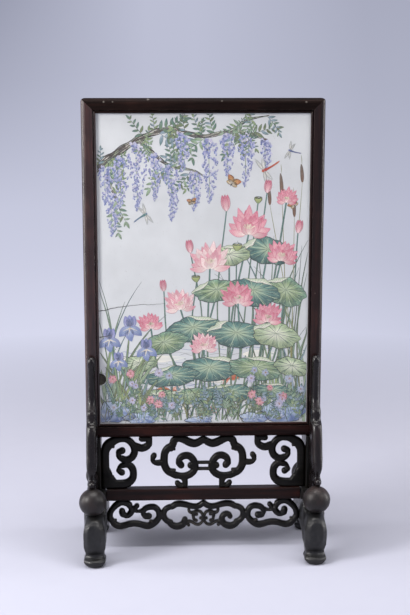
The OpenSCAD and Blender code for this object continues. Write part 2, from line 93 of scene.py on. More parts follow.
class Shading:  # the nodes of a material or of the world
    def __init__(self, owner, kind):
        owner.use_nodes = True
        self.tree = owner.node_tree
        self.tree.nodes.clear()
        self.output = self.tree.nodes.new("ShaderNodeOutput" + kind)

    def feed(self, socket, value):
        if isinstance(value, Wire):
            self.tree.links.new(value.socket, socket)
        elif socket.type == "RGBA" and len(value) == 3:
            socket.default_value = (*value, 1)
        else:
            socket.default_value = value

    def add(self, kind, settings=None, inputs=None, out=0):
        node = self.tree.nodes.new("ShaderNode" + kind)
        for key, value in (settings or {}).items():
            setattr(node, key, value)
        for key, value in (inputs or {}).items():
            self.feed(node.inputs[key], value)
        return Wire(self, node.outputs[out])

    def show(self, surface):
        self.feed(self.output.inputs["Surface"], surface)

    def seenDirectly(self):  # 1 for the camera and for reflections, 0 for light on the object
        kinds = ("Camera", "Glossy", "Transmission")
        rays = [self.add("LightPath", out="Is " + kind + " Ray") for kind in kinds]
        return rays[0].maths("MAXIMUM", rays[1].maths("MAXIMUM", rays[2]))


class Finish(Shading):
    def __init__(self, name):
        self.material = bpy.data.materials.new(name)
        super().__init__(self.material, "Material")
        self.shader = self.add("BsdfPrincipled")
        self.show(self.shader)

    def spot(self, stretch=(1, 1, 1)):  # a point on the object, squeezed along each axis
        place = self.add("TexCoord", out="Object")
        return self.add("Mapping", None, {"Vector": place, "Scale": stretch})

    def grain(self, spot, scale, detail=3.0, rough=0.55, twist=0.0):
        sockets = {"Vector": spot, "Scale": scale, "Detail": detail, "Roughness": rough}
        return self.add("TexNoise", None, {**sockets, "Distortion": twist})

    def mix(self, share, first, second):
        return self.add("Mix", {"data_type": "RGBA"}, {0: share, 6: first, 7: second}, out=2)

    def bump(self, height, strength, depth, under=None):
        sockets = {"Height": height, "Strength": strength, "Distance": depth}
        if under is not None:
            sockets["Normal"] = under
        return self.add("Bump", None, sockets)

    def set(self, **sockets):  # names with _ for a space
        for key, value in sockets.items():
            self.feed(self.shader.socket.node.inputs[key.replace("_", " ")], value)


# Camera, as the photograph was taken: place in millimetres, angles in degrees
view = {
    "place": (-62.17, -1651.62, 652.84),
    "yaw": 2.231,
    "pitch": 10.697,
    "focalPixels": 1239.6,
    "imageHeight": 615,
    "sensor": 36,
    "farthest": 50,  # metres
}


def makeCamera():
    data = bpy.data.cameras.new("camera")
    data.sensor_width = view["sensor"]
    data.lens = view["focalPixels"] * view["sensor"] / view["imageHeight"]
    data.clip_end = view["farthest"]
    camera = addObject("camera", data)
    yaw = math.radians(view["yaw"])
    pitch = math.radians(view["pitch"])
    level = math.cos(pitch)
    ahead = Vector((math.sin(yaw) * level, math.cos(yaw) * level, -math.sin(pitch)))
    camera.location = Vector(view["place"]) * mm
    camera.rotation_euler = ahead.to_track_quat("-Z", "Y").to_euler()
    scene.camera = camera


makeCamera()
print("camera made")


# Woods: tones as seen, range of roughness, strength of the pores, shine
frameWood = {
    "name": "frameWood",
    "dark": (18, 8, 7), "mid": (36, 16, 13), "light": (62, 28, 22), "worn": (128, 106, 96),
    "rough": (0.34, 0.50), "pores": 0.5, "shine": 0.10,
}
railWood = {**frameWood, "name": "railWood", "shine": 0.16}
# darker tones than frameWood: painted shade on the top rail, against the overhead light on its rounded top
topWood = {
    **frameWood,
    "name": "topWood",
    "dark": (16, 10, 9), "mid": (28, 18, 16), "light": (48, 30, 26), "worn": (124, 118, 112),
    "rough": (0.46, 0.60), "shine": 0.05,
}
# lighter tones than frameWood: painted light on the left stile, where the left lamps fall
leftWood = {
    "name": "leftWood",
    "dark": (26, 12, 11), "mid": (46, 25, 22), "light": (80, 46, 40), "worn": (138, 122, 114),
    "rough": (0.26, 0.38), "pores": 0.5, "shine": 0.52,
}
rightWood = {
    **leftWood,
    "name": "rightWood",
    "dark": (20, 10, 9), "mid": (36, 19, 16), "light": (62, 34, 29), "shine": 0.27,
}
standWood = {
    "name": "standWood",
    "dark": (10, 9, 8), "mid": (18, 17, 14), "light": (38, 33, 28), "worn": (112, 104, 96),
    "rough": (0.26, 0.38), "pores": 0.35, "shine": 0.14,
}
apronWood = {**standWood, "name": "apronWood", "shine": 0.22}
spandrelWood = {
    "name": "spandrelWood",
    "dark": (11, 8, 9), "mid": (20, 14, 15), "light": (38, 27, 27), "worn": (78, 70, 68),
    "rough": (0.22, 0.32), "pores": 0.35, "shine": 0.30,
}
footWood = {
    "name": "footWood",
    "dark": (14, 14, 15), "mid": (24, 24, 24), "light": (48, 46, 44), "worn": (112, 110, 104),
    "rough": (0.32, 0.46), "pores": 0.3, "shine": 0.38,
}
ballWood = {
    "name": "ballWood",
    "dark": (26, 23, 22), "mid": (36, 33, 33), "light": (60, 40, 38), "worn": (104, 98, 94),
    "rough": (0.33, 0.48), "pores": 0.3, "shine": 0.27,
}
boardWood = {
    "name": "boardWood",
    "dark": (46, 29, 22), "mid": (78, 50, 38), "light": (112, 78, 58), "worn": (140, 112, 90),
    "rough": (0.48, 0.66), "pores": 0.7, "shine": 0.3,
}
pegWood = {
    "name": "pegWood",
    "dark": (60, 42, 30), "mid": (98, 70, 50), "light": (132, 100, 74), "worn": (150, 126, 100),
    "rough": (0.55, 0.7), "pores": 0.8, "shine": 0.3,
}
grainAlong = {"x": (0.045, 1, 1), "y": (1, 0.045, 1), "z": (1, 1, 0.045), "burl": (0.5, 0.5, 0.3)}
grainScale = {"figure": 210, "cloud": 22, "fine": 420, "pores": 1500, "wear": 95}
poreTone = srgb(14, 10, 9)
# near-black painted shade for the hollows of carved pieces
paintedHollowShade = srgb(16, 15, 14)
edgeRadius = 0.9 * mm

# Light nicks on the frame's front edges, in metres: place and size
nicks = (
    ((-0.1306, -0.0105, 0.6163), 0.0015),
    ((-0.1190, -0.0105, 0.6163), 0.0012),
    ((-0.0727, -0.0080, 0.6195), 0.0022),
    ((0.0240, -0.0105, 0.6175), 0.0013),
    ((0.1349, -0.0105, 0.6161), 0.0015),
    ((0.1443, -0.0110, 0.5621), 0.0012),
    ((0.1503, -0.0110, 0.3611), 0.0011),
)
nickedWoods = ("topWood", "rightWood")


def hardwood(look, axis, carved):
    timber = Finish(look["name"] + "_" + axis + ("_carved" if carved else ""))
    dark, mid, light, worn = (srgb(*look[tone]) for tone in ("dark", "mid", "light", "worn"))
    lengthwise = timber.spot(grainAlong[axis])
    plain = timber.spot()
    figure = timber.grain(lengthwise, grainScale["figure"], 4, 0.6, 0.6)
    cloud = timber.grain(plain, grainScale["cloud"], 3, 0.6)
    fine = timber.grain(plain, grainScale["fine"], 3, 0.7)
    pores = timber.grain(lengthwise, grainScale["pores"], 2, 0.5).between(0.60, 0.68)
    colour = timber.mix(figure.between(0.34, 0.66), dark, mid)
    colour = timber.mix(cloud.between(0.45, 0.8) * figure.between(0.4, 0.7), colour, light)
    colour = timber.mix(pores * look["pores"], colour, poreTone)
    if carved:  # a dense net: its own edges show the wear, and its hollows get painted shade
        bent = timber.add("NewGeometry", out="Pointiness")
        edge = bent.between(0.515, 0.60)
        # painted shade: concave places are darkened towards a near-black tone
        colour = timber.mix(bent.between(0.485, 0.42) * 0.6, colour, paintedHollowShade)
        under = None
    else:  # a sharp machined edge: rounded and worn in the shading
        under = timber.add("Bevel", {"samples": 4}, {"Radius": edgeRadius})
        face = timber.add("NewGeometry", out="Normal")
        same = timber.add("VectorMath", {"operation": "DOT_PRODUCT"}, {0: under, 1: face}, out="Value")
        edge = (1 - same).between(0.01, 0.16)
    wear = edge * timber.grain(plain, grainScale["wear"], 4, 0.7).between(0.42, 0.66)
    for place, size in nicks if look["name"] in nickedWoods else ():
        gap = timber.add("VectorMath", {"operation": "DISTANCE"}, {0: plain, 1: place}, out="Value")
        wear = wear + (gap + (fine - 0.5) * size).between(size, size * 0.4) * 1.1
    low, high = look["rough"]
    timber.set(
        Base_Color=timber.mix((wear * 0.5).maths("MINIMUM", 0.85), colour, worn),
        Roughness=low + (high - low) * cloud.between(0.3, 0.75) + pores * 0.12 - wear * 0.08,
        Normal=timber.bump(fine * 0.5 + pores * -0.8 + figure * 0.4, 0.22, 0.3 * mm, under),
        Specular_IOR_Level=look["shine"],
    )
    return timber.material


woods = {}


def wood(look, axis, carved=False):  # each wood is made once
    key = (look["name"], axis, carved)
    if key not in woods:
        woods[key] = hardwood(look, axis, carved)
    return woods[key]


def brass():
    metal = Finish("brass")
    stain = metal.grain(metal.spot(), 600, 3)
    metal.set(
        Base_Color=metal.mix(stain.between(0.4, 0.7), srgb(150, 118, 62), srgb(82, 66, 40)),
        Roughness=0.35 + stain * 0.3,
        Metallic=1.0,
    )
    return metal.material


def packingPaper():
    sheet = Finish("packingPaper")
    fibre = sheet.grain(sheet.spot((1, 1, 0.3)), 900, 4)
    sheet.set(
        Base_Color=sheet.mix(fibre.between(0.35, 0.65), srgb(170, 146, 108), srgb(196, 176, 140)),
        Roughness=0.85 + fibre * 0.1,
        Normal=sheet.bump(fibre, 0.3, 0.2 * mm),
    )
    return sheet.material


def dress(name, material):
    mesh = nodes[name].data
    mesh.materials.clear()
    mesh.materials.append(material)


# Straight members keep their CAD solids: wood and direction of its grain
straight = {
    "frame_top_rail": (topWood, "x"),
    "frame_bottom_rail": (frameWood, "x"),
    "frame_left_stile": (leftWood, "z"),
    "frame_right_stile": (rightWood, "z"),
    "rear_bead_top": (frameWood, "x"),
    "rear_bead_bottom": (frameWood, "x"),
    "rear_bead_left": (frameWood, "z"),
    "rear_bead_right": (frameWood, "z"),
    "left_post": (standWood, "z"),
    "right_post": (standWood, "z"),
    "lower_rail": (railWood, "x"),
    "backing_board": (boardWood, "z"),
    "corner_pegs": (pegWood, "y"),
    "ball_dowels": (pegWood, "z"),
    "spandrel_pegs": (pegWood, "y"),
    "openwork_pegs": (pegWood, "x"),
    "apron_pegs": (pegWood, "x"),
}
for name, (look, axis) in straight.items():
    dress(name, wood(look, axis))
dress("bead_pins", brass())
dress("packing_sheet", packingPaper())
print("frame, posts and rail dressed")


def smoothSheet(mesh, material):
    mesh.polygons.foreach_set("use_smooth", [True] * len(mesh.polygons))
    mesh.materials.clear()
    mesh.materials.append(material)
    mesh.update()


# Carved pieces: the CAD solid as an even net, eased by hand as a carver would
class Net:
    def __init__(self, node, cell):
        rough = addObject(node + "_rough", nodes[node].data.copy())
        rough.modifiers.new("weld", "WELD").merge_threshold = 0.02 * mm
        even = rough.modifiers.new("even", "REMESH")
        even.mode = "VOXEL"
        even.voxel_size = cell
        graph = bpy.context.evaluated_depsgraph_get()
        self.mesh = bpy.data.meshes.new_from_object(rough.evaluated_get(graph))
        bpy.data.objects.remove(rough)
        self.mesh.name = node + "_carved"
        count = len(self.mesh.vertices)
        points = np.empty(count * 3)
        self.mesh.vertices.foreach_get("co", points)
        self.points = points.reshape(-1, 3)
        pairs = np.empty(len(self.mesh.edges) * 2, int)
        self.mesh.edges.foreach_get("vertices", pairs)
        self.pairs = pairs.reshape(-1, 2)
        self.reach = np.bincount(pairs, minlength=count)[:, None]

    def pull(self, share):  # each point moves towards the middle of its neighbours, or away
        first, second = self.pairs.T
        count = len(self.points)
        sums = []
        for line in self.points.T:
            sums.append(np.bincount(first, line[second], count) + np.bincount(second, line[first], count))
        self.points += share * (np.stack(sums, 1) / self.reach - self.points)

    def ease(self, times):
        for step in range(times):
            self.pull(0.5)

    def polish(self, times):  # smooths without shrinking
        for step in range(times):
            self.pull(0.5)
            self.pull(-0.52)

    def swell(self, depth):  # outwards along the surface
        self.mesh.vertices.foreach_set("co", self.points.ravel())
        self.mesh.update()
        ways = np.empty(len(self.points) * 3)
        self.mesh.vertices.foreach_get("normal", ways)
        self.points += ways.reshape(-1, 3) * depth

    def roughen(self, depth, scale, seed):
        offset = Vector((seed * 3.1, seed * 1.7, seed * 2.3))
        for i, p in enumerate(self.points):
            self.points[i] += np.array(noise.noise_vector(Vector(p) * scale + offset)) * depth

    def done(self, material, body, node, slot):  # stays inside the node's own box
        low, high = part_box(node)
        self.points = np.clip(self.points, np.array(low), np.array(high))
        self.mesh.vertices.foreach_set("co", self.points.ravel())
        smoothSheet(self.mesh, material)
        piece = addObject(self.mesh.name, self.mesh)
        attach(piece, body)
        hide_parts(node)


def smoothstep(x, low, high):
    t = np.clip((x - low) / (high - low), 0, 1)
    return t * t * (3 - 2 * t)


def hump(x, middle, width):  # a smooth swelling round one place
    return np.exp(-((x - middle) / width) ** 2)


# Pierced work: bands crowned on both faces
pierced = {
    "cell": 0.6 * mm,
    "halfDepth": 5 * mm,
    "edgeDepth": 1.3 * mm,
    "crown": 5.4 * mm,
    "sampleGap": 0.35 * mm,
    "swell": 0.45 * mm,
    "toolMarks": 0.08 * mm,
    "knobReach": (4.2 * mm, 8.0 * mm),
}

# Free ends of the scrolls swell to knobs: place in millimetres and growth
bracketKnobs = ((-113.8, 139.4, 0.34), (-114.6, 109.0, 0.36), (-83.6, 157.0, 0.22))
cloudKnobs = ((-31.8, 118.8, 0.22), (-69.2, 131.6, 0.34), (-35.8, 92.2, 0.36), (-17.4, 117.6, 0.15))
apronKnobs = ((-77.6, 44.6, 0.26), (-113.2, 51.4, 0.28), (-93.2, 59.4, 0.3))
knobs = {
    "left_scroll_bracket": bracketKnobs,
    "right_scroll_bracket": tuple((-x, z, grow) for x, z, grow in bracketKnobs),
    "cloud_panel": tuple((side * x, z, grow) for side in (1, -1) for x, z, grow in cloudKnobs),
    "apron": tuple((side * x, z, grow) for side in (1, -1) for x, z, grow in apronKnobs),
}


def outlineTree(mesh):  # points along the outline, from the solid's upright walls
    points = set()
    spots = [v.co for v in mesh.vertices]
    for face in mesh.polygons:
        if abs(face.normal.y) > 0.3:
            continue
        for a, b in zip(face.vertices, list(face.vertices)[1:] + [face.vertices[0]]):
            start, end = spots[a], spots[b]
            if min(abs(start.y), abs(end.y)) < pierced["halfDepth"] - 0.01 * mm:
                continue
            steps = max(1, math.ceil((end - start).length / pierced["sampleGap"]))
            for k in range(steps):
                p = start.lerp(end, k / steps)
                points.add((round(p.x, 5), round(p.z, 5)))
    tree = kdtree.KDTree(len(points))
    for i, (x, z) in enumerate(sorted(points)):
        tree.insert((x, 0, z), i)
    tree.balance()
    return tree


def carvePierced(node, seed):
    net = Net(node, pierced["cell"])
    tree = outlineTree(nodes[node].data)
    inset = np.array([tree.find((x, 0, z))[2] for x, y, z in net.points])
    t = np.clip(inset / pierced["crown"], 0, 1)
    dome = np.sqrt(1 - (1 - t) ** 2)
    depth = pierced["edgeDepth"] + (pierced["halfDepth"] - pierced["edgeDepth"]) * dome
    net.points[:, 1] *= depth / pierced["halfDepth"]
    for x, z, grow in knobs[node]:
        away = net.points[:, (0, 2)] - (x * mm, z * mm)
        share = grow * (1 - smoothstep(np.hypot(*away.T), *pierced["knobReach"]))
        net.points[:, (0, 2)] += away * share[:, None]
    net.polish(6)
    net.swell(pierced["swell"])
    net.roughen(pierced["toolMarks"], 160, seed)
    look = apronWood if node == "apron" else standWood
    net.done(wood(look, "x", True), "stand", node, "stand_wood")


for seed, node in enumerate(knobs):
    carvePierced(node, seed)
print("pierced work carved")


# Feet: heights from the floor, distances from the middle of the foot
footShape = {
    "cell": 0.85 * mm,
    "halfWidth": 14.65 * mm,
    "frontRound": 7.0 * mm,
    "frontFrom": (44 * mm, 74 * mm),
    "carvedFrom": (66 * mm, 76 * mm),
    "topDrop": 3.0 * mm,
    "topNarrow": 0.22,
    "topHeights": (44 * mm, 70 * mm),
    "topFrom": (46 * mm, 58 * mm),
    "knee": 0.07,
    "kneeHeight": 26 * mm,
    "brow": 0.4 * mm,
    "browHeight": 61.2 * mm,
    "browSag": 5 * mm,
    "flute": 2.0 * mm,
    "fluteStart": (24 * mm, 40 * mm),
    "fluteEnd": (58 * mm, 66 * mm),
    "ridge": 1.2 * mm,
    "ankle": 1.6 * mm,
    "ankleHeight": 15.5 * mm,
    "soleNarrow": 0.2,
    "soleHeight": 8 * mm,
    "swell": 0.15 * mm,
    "toolMarks": 0.18 * mm,
}


def carveFoot(node, seed):
    shape = footShape
    net = Net(node, shape["cell"])
    low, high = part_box(node)
    middle = (low.x + high.x) / 2
    net.polish(12)
    x, y, z = net.points.T.copy()
    across = np.clip(np.abs(x - middle) / shape["halfWidth"], 0, 1.05)
    reach = np.abs(y)
    turned = shape["frontRound"] * across ** 2.1 * smoothstep(reach, *shape["frontFrom"])
    line = shape["browHeight"] - shape["browSag"] * across ** 2
    brow = hump(z, line + 1.2 * mm, 1.4 * mm) - 0.5 * hump(z, line - 1.6 * mm, 1.8 * mm)
    span = smoothstep(z, *shape["fluteStart"]) * (1 - smoothstep(z, *shape["fluteEnd"]))
    flute = shape["flute"] * span * hump(across, 0, 0.36)
    ridge = shape["ridge"] * span * hump(across, 0.58, 0.18)
    ankle = shape["ankle"] * hump(z, shape["ankleHeight"], 3.6 * mm)
    carved = shape["brow"] * brow + flute - ridge + ankle
    net.points[:, 1] -= np.sign(y) * (turned + smoothstep(reach, *shape["carvedFrom"]) * carved)
    top = smoothstep(z, *shape["topHeights"]) * smoothstep(reach, *shape["topFrom"])
    sole = shape["soleNarrow"] * (1 - smoothstep(z, 0, shape["soleHeight"]))
    knee = shape["knee"] * hump(z, shape["kneeHeight"], 8 * mm)
    net.points[:, 0] = middle + (x - middle) * (1 - shape["topNarrow"] * top - sole + knee)
    net.points[:, 2] -= shape["topDrop"] * across ** 2 * top
    net.polish(10)
    net.swell(shape["swell"])
    net.roughen(shape["toolMarks"], 85, seed)
    net.done(wood(footWood, "y", True), "stand", node, "stand_wood")


carveFoot("left_foot", 11)
carveFoot("right_foot", 12)
print("feet carved")


# Spandrels
spandrelShape = {
    "cell": 0.65 * mm,
    "bullnose": 0.85,
    "band": 9 * mm,
    "slice": 1.2 * mm,
    "toolMarks": 0.06 * mm,
}
corners = ("front_left", "front_right", "rear_left", "rear_right")


def carveSpandrel(node, seed):  # the free edge is rounded over its whole width
    net = Net(node, spandrelShape["cell"])
    low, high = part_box(node)
    middle = (low.x + high.x) / 2
    side = -1 if low.y < 0 else 1
    net.ease(5)
    x, y, z = net.points.T
    slices = ((z - low.z) / spandrelShape["slice"]).astype(int)
    reach = np.zeros(slices.max() + 1)
    width = np.zeros(slices.max() + 1)
    np.maximum.at(reach, slices, y * side)
    np.maximum.at(width, slices, np.abs(x - middle))
    near = 1 - smoothstep(reach[slices] - y * side, 0, spandrelShape["band"])
    across = np.clip(np.abs(x - middle) / width[slices], 0, 0.97)
    fall = spandrelShape["bullnose"] * width[slices] * (1 - np.sqrt(1 - across ** 2))
    net.points[:, 1] -= side * fall * near
    net.ease(6)
    net.roughen(spandrelShape["toolMarks"], 110, seed)
    net.done(wood(spandrelWood, "z", True), "stand", node, "stand_wood")


for seed, corner in enumerate(corners, 20):
    carveSpandrel("spandrel_" + corner, seed)
print("spandrels carved")


# Balls
ballShape = {"levels": 6, "dent": 0.10 * mm}


def carveBall(node, seed):
    low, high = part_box(node)
    radius = (high.x - low.x) / 2
    centre = Vector(((low.x + high.x) / 2, (low.y + high.y) / 2, high.z - radius))
    form = bmesh.new()
    bmesh.ops.create_icosphere(form, subdivisions=ballShape["levels"], radius=1)
    for v in form.verts:
        way = v.co.normalized()
        wave = noise.noise(way * 2.2 + Vector((seed, 0, 0))) * 0.7
        wave += noise.noise(way * 7 + Vector((0, seed, 0))) * 0.3
        v.co = centre + way * (radius - ballShape["dent"] * (1 + wave))
        v.co.z = max(v.co.z, low.z)
    mesh = bpy.data.meshes.new(node + "_turned")
    form.to_mesh(mesh)
    form.free()
    smoothSheet(mesh, wood(ballWood, "burl", True))
    piece = addObject(node + "_turned", mesh)
    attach(piece, "stand")
    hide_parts(node)


for seed, corner in enumerate(corners, 30):
    carveBall("ball_" + corner, seed)
print("balls turned")


# Porcelain plaque
def glaze():
    china = Finish("glaze")
    spot = china.spot()
    cloud = china.grain(spot, 14, 3, 0.6)
    speck = china.grain(spot, 700, 2, 0.5).between(0.70, 0.74)
    wave = china.grain(spot, 60, 2, 0.5)
    tone = china.mix(cloud.between(0.35, 0.7), srgb(203, 206, 208), srgb(214, 217, 219))
    china.set(
        Base_Color=china.mix(speck * 0.5, tone, srgb(150, 146, 138)),
        Roughness=0.16 + cloud * 0.10,
        Normal=china.bump(wave * 0.8 + speck * -0.3, 0.10, 0.4 * mm),
        Coat_Weight=0.3,
        Coat_Roughness=0.08,
    )
    return china.material


def brokenClay():
    clay = Finish("brokenClay")
    crumb = clay.grain(clay.spot(), 700, 4, 0.7)
    clay.set(
        Base_Color=clay.mix(crumb.between(0.3, 0.7), srgb(48, 46, 39), srgb(86, 83, 73)),
        Roughness=0.75 + crumb * 0.2,
        Normal=clay.bump(crumb, 0.6, 0.6 * mm),
    )
    return clay.material


# The plaque in millimetres: a fired slab is never quite flat, and its left edge is chipped
plaqueShape = {
    "front": -7.0,
    "back": -1.5,
    "half": 147.0,
    "low": 175.0,
    "high": 607.0,
    "cell": 3.0,
    "warp": 0.16,
}
chip = {
    "x": -141.4,
    "z": 243.0,
    "radius": 8.6,
    "depth": 2.2,
    "steep": 4,
    "toEdge": 5,
    "reach": 11,
    "cell": 0.5,
}


def plaqueFront(x, z):
    warp = np.sin(x * 0.017 + 0.6) * np.sin(z * 0.011 + 0.3) + 0.5 * np.sin(x * 0.05 + z * 0.031)
    return plaqueShape["front"] + plaqueShape["warp"] * (0.75 + 0.5 * warp)


def chipGap(x, z):  # distance from the middle of the chip
    return np.hypot(x - chip["x"], z - chip["z"])


def netFaces(rows, columns):
    index = np.arange(rows * columns).reshape(rows, columns)
    return np.stack([index[:-1, :-1], index[:-1, 1:], index[1:, 1:], index[1:, :-1]], -1).reshape(-1, 4)


def netLines(low, high, middle, before):  # even lines, and dense ones round the chip
    even = np.linspace(low, high, int((high - low) / plaqueShape["cell"]) + 1)
    dense = np.arange(middle - before, middle + chip["reach"], chip["cell"])
    return np.unique(np.concatenate([even, dense]))


def firePlaque():
    half = plaqueShape["half"]
    xs = netLines(-half, half, chip["x"], chip["toEdge"])
    zs = netLines(plaqueShape["low"], plaqueShape["high"], chip["z"], chip["reach"])
    x, z = np.meshgrid(xs, zs)
    ragged = 1 + 0.10 * np.sin(z * 2.1) + 0.06 * np.sin(x * 3.3 + z)
    inside = 1 - chipGap(x, z) / (chip["radius"] * ragged)
    front = plaqueFront(x, z) + chip["depth"] * np.clip(inside * chip["steep"], 0, 1)
    back = np.full_like(front, plaqueShape["back"])
    points = np.concatenate([np.stack([x, y, z], -1).reshape(-1, 3) for y in (front, back)])
    quads = netFaces(*x.shape)
    count = x.size
    index = np.arange(count).reshape(x.shape)
    rim = np.concatenate([index[0, :-1], index[:-1, -1], index[-1, :0:-1], index[:0:-1, 0]])
    walls = np.stack([rim, rim + count, np.roll(rim, -1) + count, np.roll(rim, -1)], -1)
    faces = np.concatenate([quads, quads[:, ::-1] + count, walls])
    mesh = bpy.data.meshes.new("plaque_fired")
    mesh.from_pydata((points * mm).tolist(), [], faces.tolist())
    mesh.polygons.foreach_set("use_smooth", [k < len(quads) for k in range(len(faces))])
    mesh.materials.append(glaze())
    mesh.materials.append(brokenClay())
    starts = points[quads[:, 0]]
    marks = np.zeros(len(faces), int)
    marks[:len(quads)][chipGap(starts[:, 0], starts[:, 2]) < chip["radius"] * 0.98] = 1
    mesh.polygons.foreach_set("material_index", marks)
    piece = addObject("plaque_fired", mesh)
    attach(piece, "framed_plaque")
    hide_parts("porcelain_plaque")


firePlaque()
print("plaque fired")


# Painted design: a lotus pond under wisteria, laid on the glaze as thin enamel
painting = {
    "left": -141.5,
    "low": 180.5,
    "wide": 283.0,
    "high": 421.0,
    "margin": 0.7,
    "layer": 0.006,
    "nearChip": 5,
    "finerNet": 5,
}
paintTones = {
    "pinkPale": (236, 216, 214), "pink": (216, 140, 158), "rose": (192, 84, 114), "wine": (134, 54, 74),
    "teal": (96, 136, 128), "tealDark": (50, 80, 80), "green": (126, 146, 104),
    "greenPale": (182, 196, 164), "lime": (178, 186, 118), "olive": (132, 132, 84),
    "lilac": (200, 194, 216), "violet": (134, 134, 184), "blue": (96, 116, 164),
    "bluePale": (180, 194, 214), "bark": (116, 104, 94), "barkDark": (60, 54, 50),
    "ochre": (202, 172, 110), "orange": (204, 114, 60), "red": (174, 62, 50), "brown": (120, 84, 60),
    "ink": (42, 42, 44), "inkGrey": (126, 128, 130), "cream": (234, 230, 218), "wash": (198, 206, 206),
}
paintTones = {name: np.array(srgb(*tone)) for name, tone in paintTones.items()}
leafTones = (
    ("green", "teal", "tealDark"),
    ("greenPale", "green", "teal"),
    ("lime", "green", "teal"),
    ("bluePale", "teal", "tealDark"),
    ("olive", "green", "tealDark"),
)
layers = {  # coats above the glaze, lowest first
    "wash": 1, "ripple": 3, "weed": 4, "fish": 6, "reed": 7, "leafStem": 10, "vine": 10, "cattail": 11,
    "budStem": 12, "flowerStem": 13, "backSprig": 13, "lotusLeaf": 14, "raceme": 18, "frontSprig": 24,
    "insect": 24, "pod": 26, "bud": 27, "blossom": 28, "nearInsect": 40, "irisLeaf": 41, "stone": 44,
    "irisStem": 44, "iris": 45, "grass": 45, "bank": 46, "asterStem": 47, "aster": 49, "crack": 60,
}
dice = random.Random(41)
roll = dice.uniform
pick = dice.choice


def finer(net, times):  # the same net with more rows and columns
    for axis in (0, 1):
        last = net.shape[axis] - 1
        place = np.linspace(0, last, last * times + 1)
        start = np.minimum(place.astype(int), last - 1)
        share = np.expand_dims(place - start, (1 - axis, 2))
        net = np.take(net, start, axis) * (1 - share) + np.take(net, start + 1, axis) * share
    return net


class Enamel:
    def __init__(self, name):
        self.name = "paint_" + name
        self.points = []
        self.faces = []
        self.tones = []
        self.count = 0

    def sheet(self, grid, colour, level):  # a net of points in the painting's own millimetres
        corner = (painting["left"], painting["low"])
        if chipGap(*np.moveaxis(grid + corner, -1, 0)).min() < chip["radius"] + painting["nearChip"]:
            colour = finer(colour.reshape(*grid.shape[:2], 3), painting["finerNet"])
            grid = finer(grid, painting["finerNet"])
        edge = painting["margin"]
        across, up = grid.reshape(-1, 2).T
        x = np.clip(across, edge, painting["wide"] - edge) + painting["left"]
        z = np.clip(up, edge, painting["high"] - edge) + painting["low"]
        y = plaqueFront(x, z) - level * painting["layer"]
        quads = netFaces(*grid.shape[:2])
        sound = chipGap(x, z) > chip["radius"]  # no paint is left on the chip
        self.points.append(np.stack([x, y, z], 1) * mm)
        self.faces.append(quads[sound[quads].all(1)] + self.count)
        self.tones.append(colour.reshape(-1, 3))
        self.count += len(x)

    def done(self, material):
        points = np.concatenate(self.points)
        faces = np.concatenate(self.faces)
        ends = points[faces]
        turn = np.cross(ends[:, 2] - ends[:, 0], ends[:, 3] - ends[:, 1])[:, 1]
        faces = np.where((turn > 0)[:, None], faces[:, ::-1], faces)
        seen = np.abs(turn) > 1e-13  # a face that the clipping flattened has no area
        used, faces = np.unique(faces[seen], return_inverse=True)
        faces = faces.reshape(-1, 4)
        mesh = bpy.data.meshes.new(self.name)
        mesh.from_pydata(points[used].tolist(), [], faces.tolist())
        layer = mesh.color_attributes.new("tone", "FLOAT_COLOR", "POINT")
        tones = np.clip(np.concatenate(self.tones), 0, 1)[used]
        layer.data.foreach_set("color", np.column_stack([tones, np.ones(len(tones))]).ravel())
        mesh.materials.append(material)
        piece = addObject(self.name, mesh)
        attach(piece, "framed_plaque")
        print(self.name, len(faces), "faces")


paintNames = ("vine", "wisteria", "leaf", "sprig", "lotus", "reed", "water", "creature", "ink", "line")
paints = {name: Enamel(name) for name in paintNames}


# Brush marks: paths in the painting's millimetres, half widths, and tones from base to tip and at the rim
def bend(start, angle, length, curl, steps):
    turn = np.radians(angle + curl * np.linspace(0, 1, steps))
    step = np.stack([np.cos(turn), np.sin(turn)], 1) * length / (steps - 1)
    return np.vstack([[0, 0], np.cumsum(step[:-1], 0)]) + np.array(start, float)


def through(points, steps=8):  # a smooth line through points
    p = np.array(points, float)
    p = np.vstack([2 * p[0] - p[1], p, 2 * p[-1] - p[-2]])
    t = np.linspace(0, 1, steps, endpoint=False)[:, None]
    parts = []
    for a, b, c, d in zip(p[:-3], p[1:-2], p[2:-1], p[3:]):
        square = (2 * a - 5 * b + 4 * c - d) * t ** 2
        cube = (3 * b - a - 3 * c + d) * t ** 3
        parts.append((2 * b + (c - a) * t + square + cube) / 2)
    return np.vstack(parts + [p[-2:-1]])


def blend(first, second, share):
    return paintTones[first] + (paintTones[second] - paintTones[first]) * share


def ribbon(paint, path, half, tones, level, rows, jitter=0.12):
    along = np.gradient(path, axis=0)
    along /= np.linalg.norm(along, axis=1)[:, None] + 1e-9
    side = np.stack([-along[:, 1], along[:, 0]], 1)
    v = np.linspace(-1, 1, rows + 1)
    t = np.linspace(0, 1, len(path))
    base, tip, rim = tones
    colour = blend(base, tip, t[:, None, None]) + np.zeros((1, rows + 1, 1))
    colour = colour + (paintTones[rim] - colour) * (np.abs(v) ** 2 * 0.65)[None, :, None]
    colour = colour * (1 + jitter * roll(-1, 1))
    grid = path[:, None] + side[:, None] * (half[:, None] * v)[..., None]
    paints[paint].sheet(grid, colour, level)
    return path + side * half[:, None], path - side * half[:, None]


def stroke(path, half, tone, level, paint="ink"):  # a thin line of ink that thins out at both ends
    t = np.linspace(0, 1, len(path))
    ribbon(paint, path, half * (0.35 + 0.65 * np.sin(np.pi * t) ** 0.5), (tone, tone, tone), level, 1)


def strokes(paths, half, tone, level):
    for path in paths:
        stroke(path, half, tone, level)


def full(count, width):  # widths of a petal or leaf along its length
    return width * np.sin(np.pi * np.linspace(0.02, 0.985, count) ** 0.82) ** 0.85


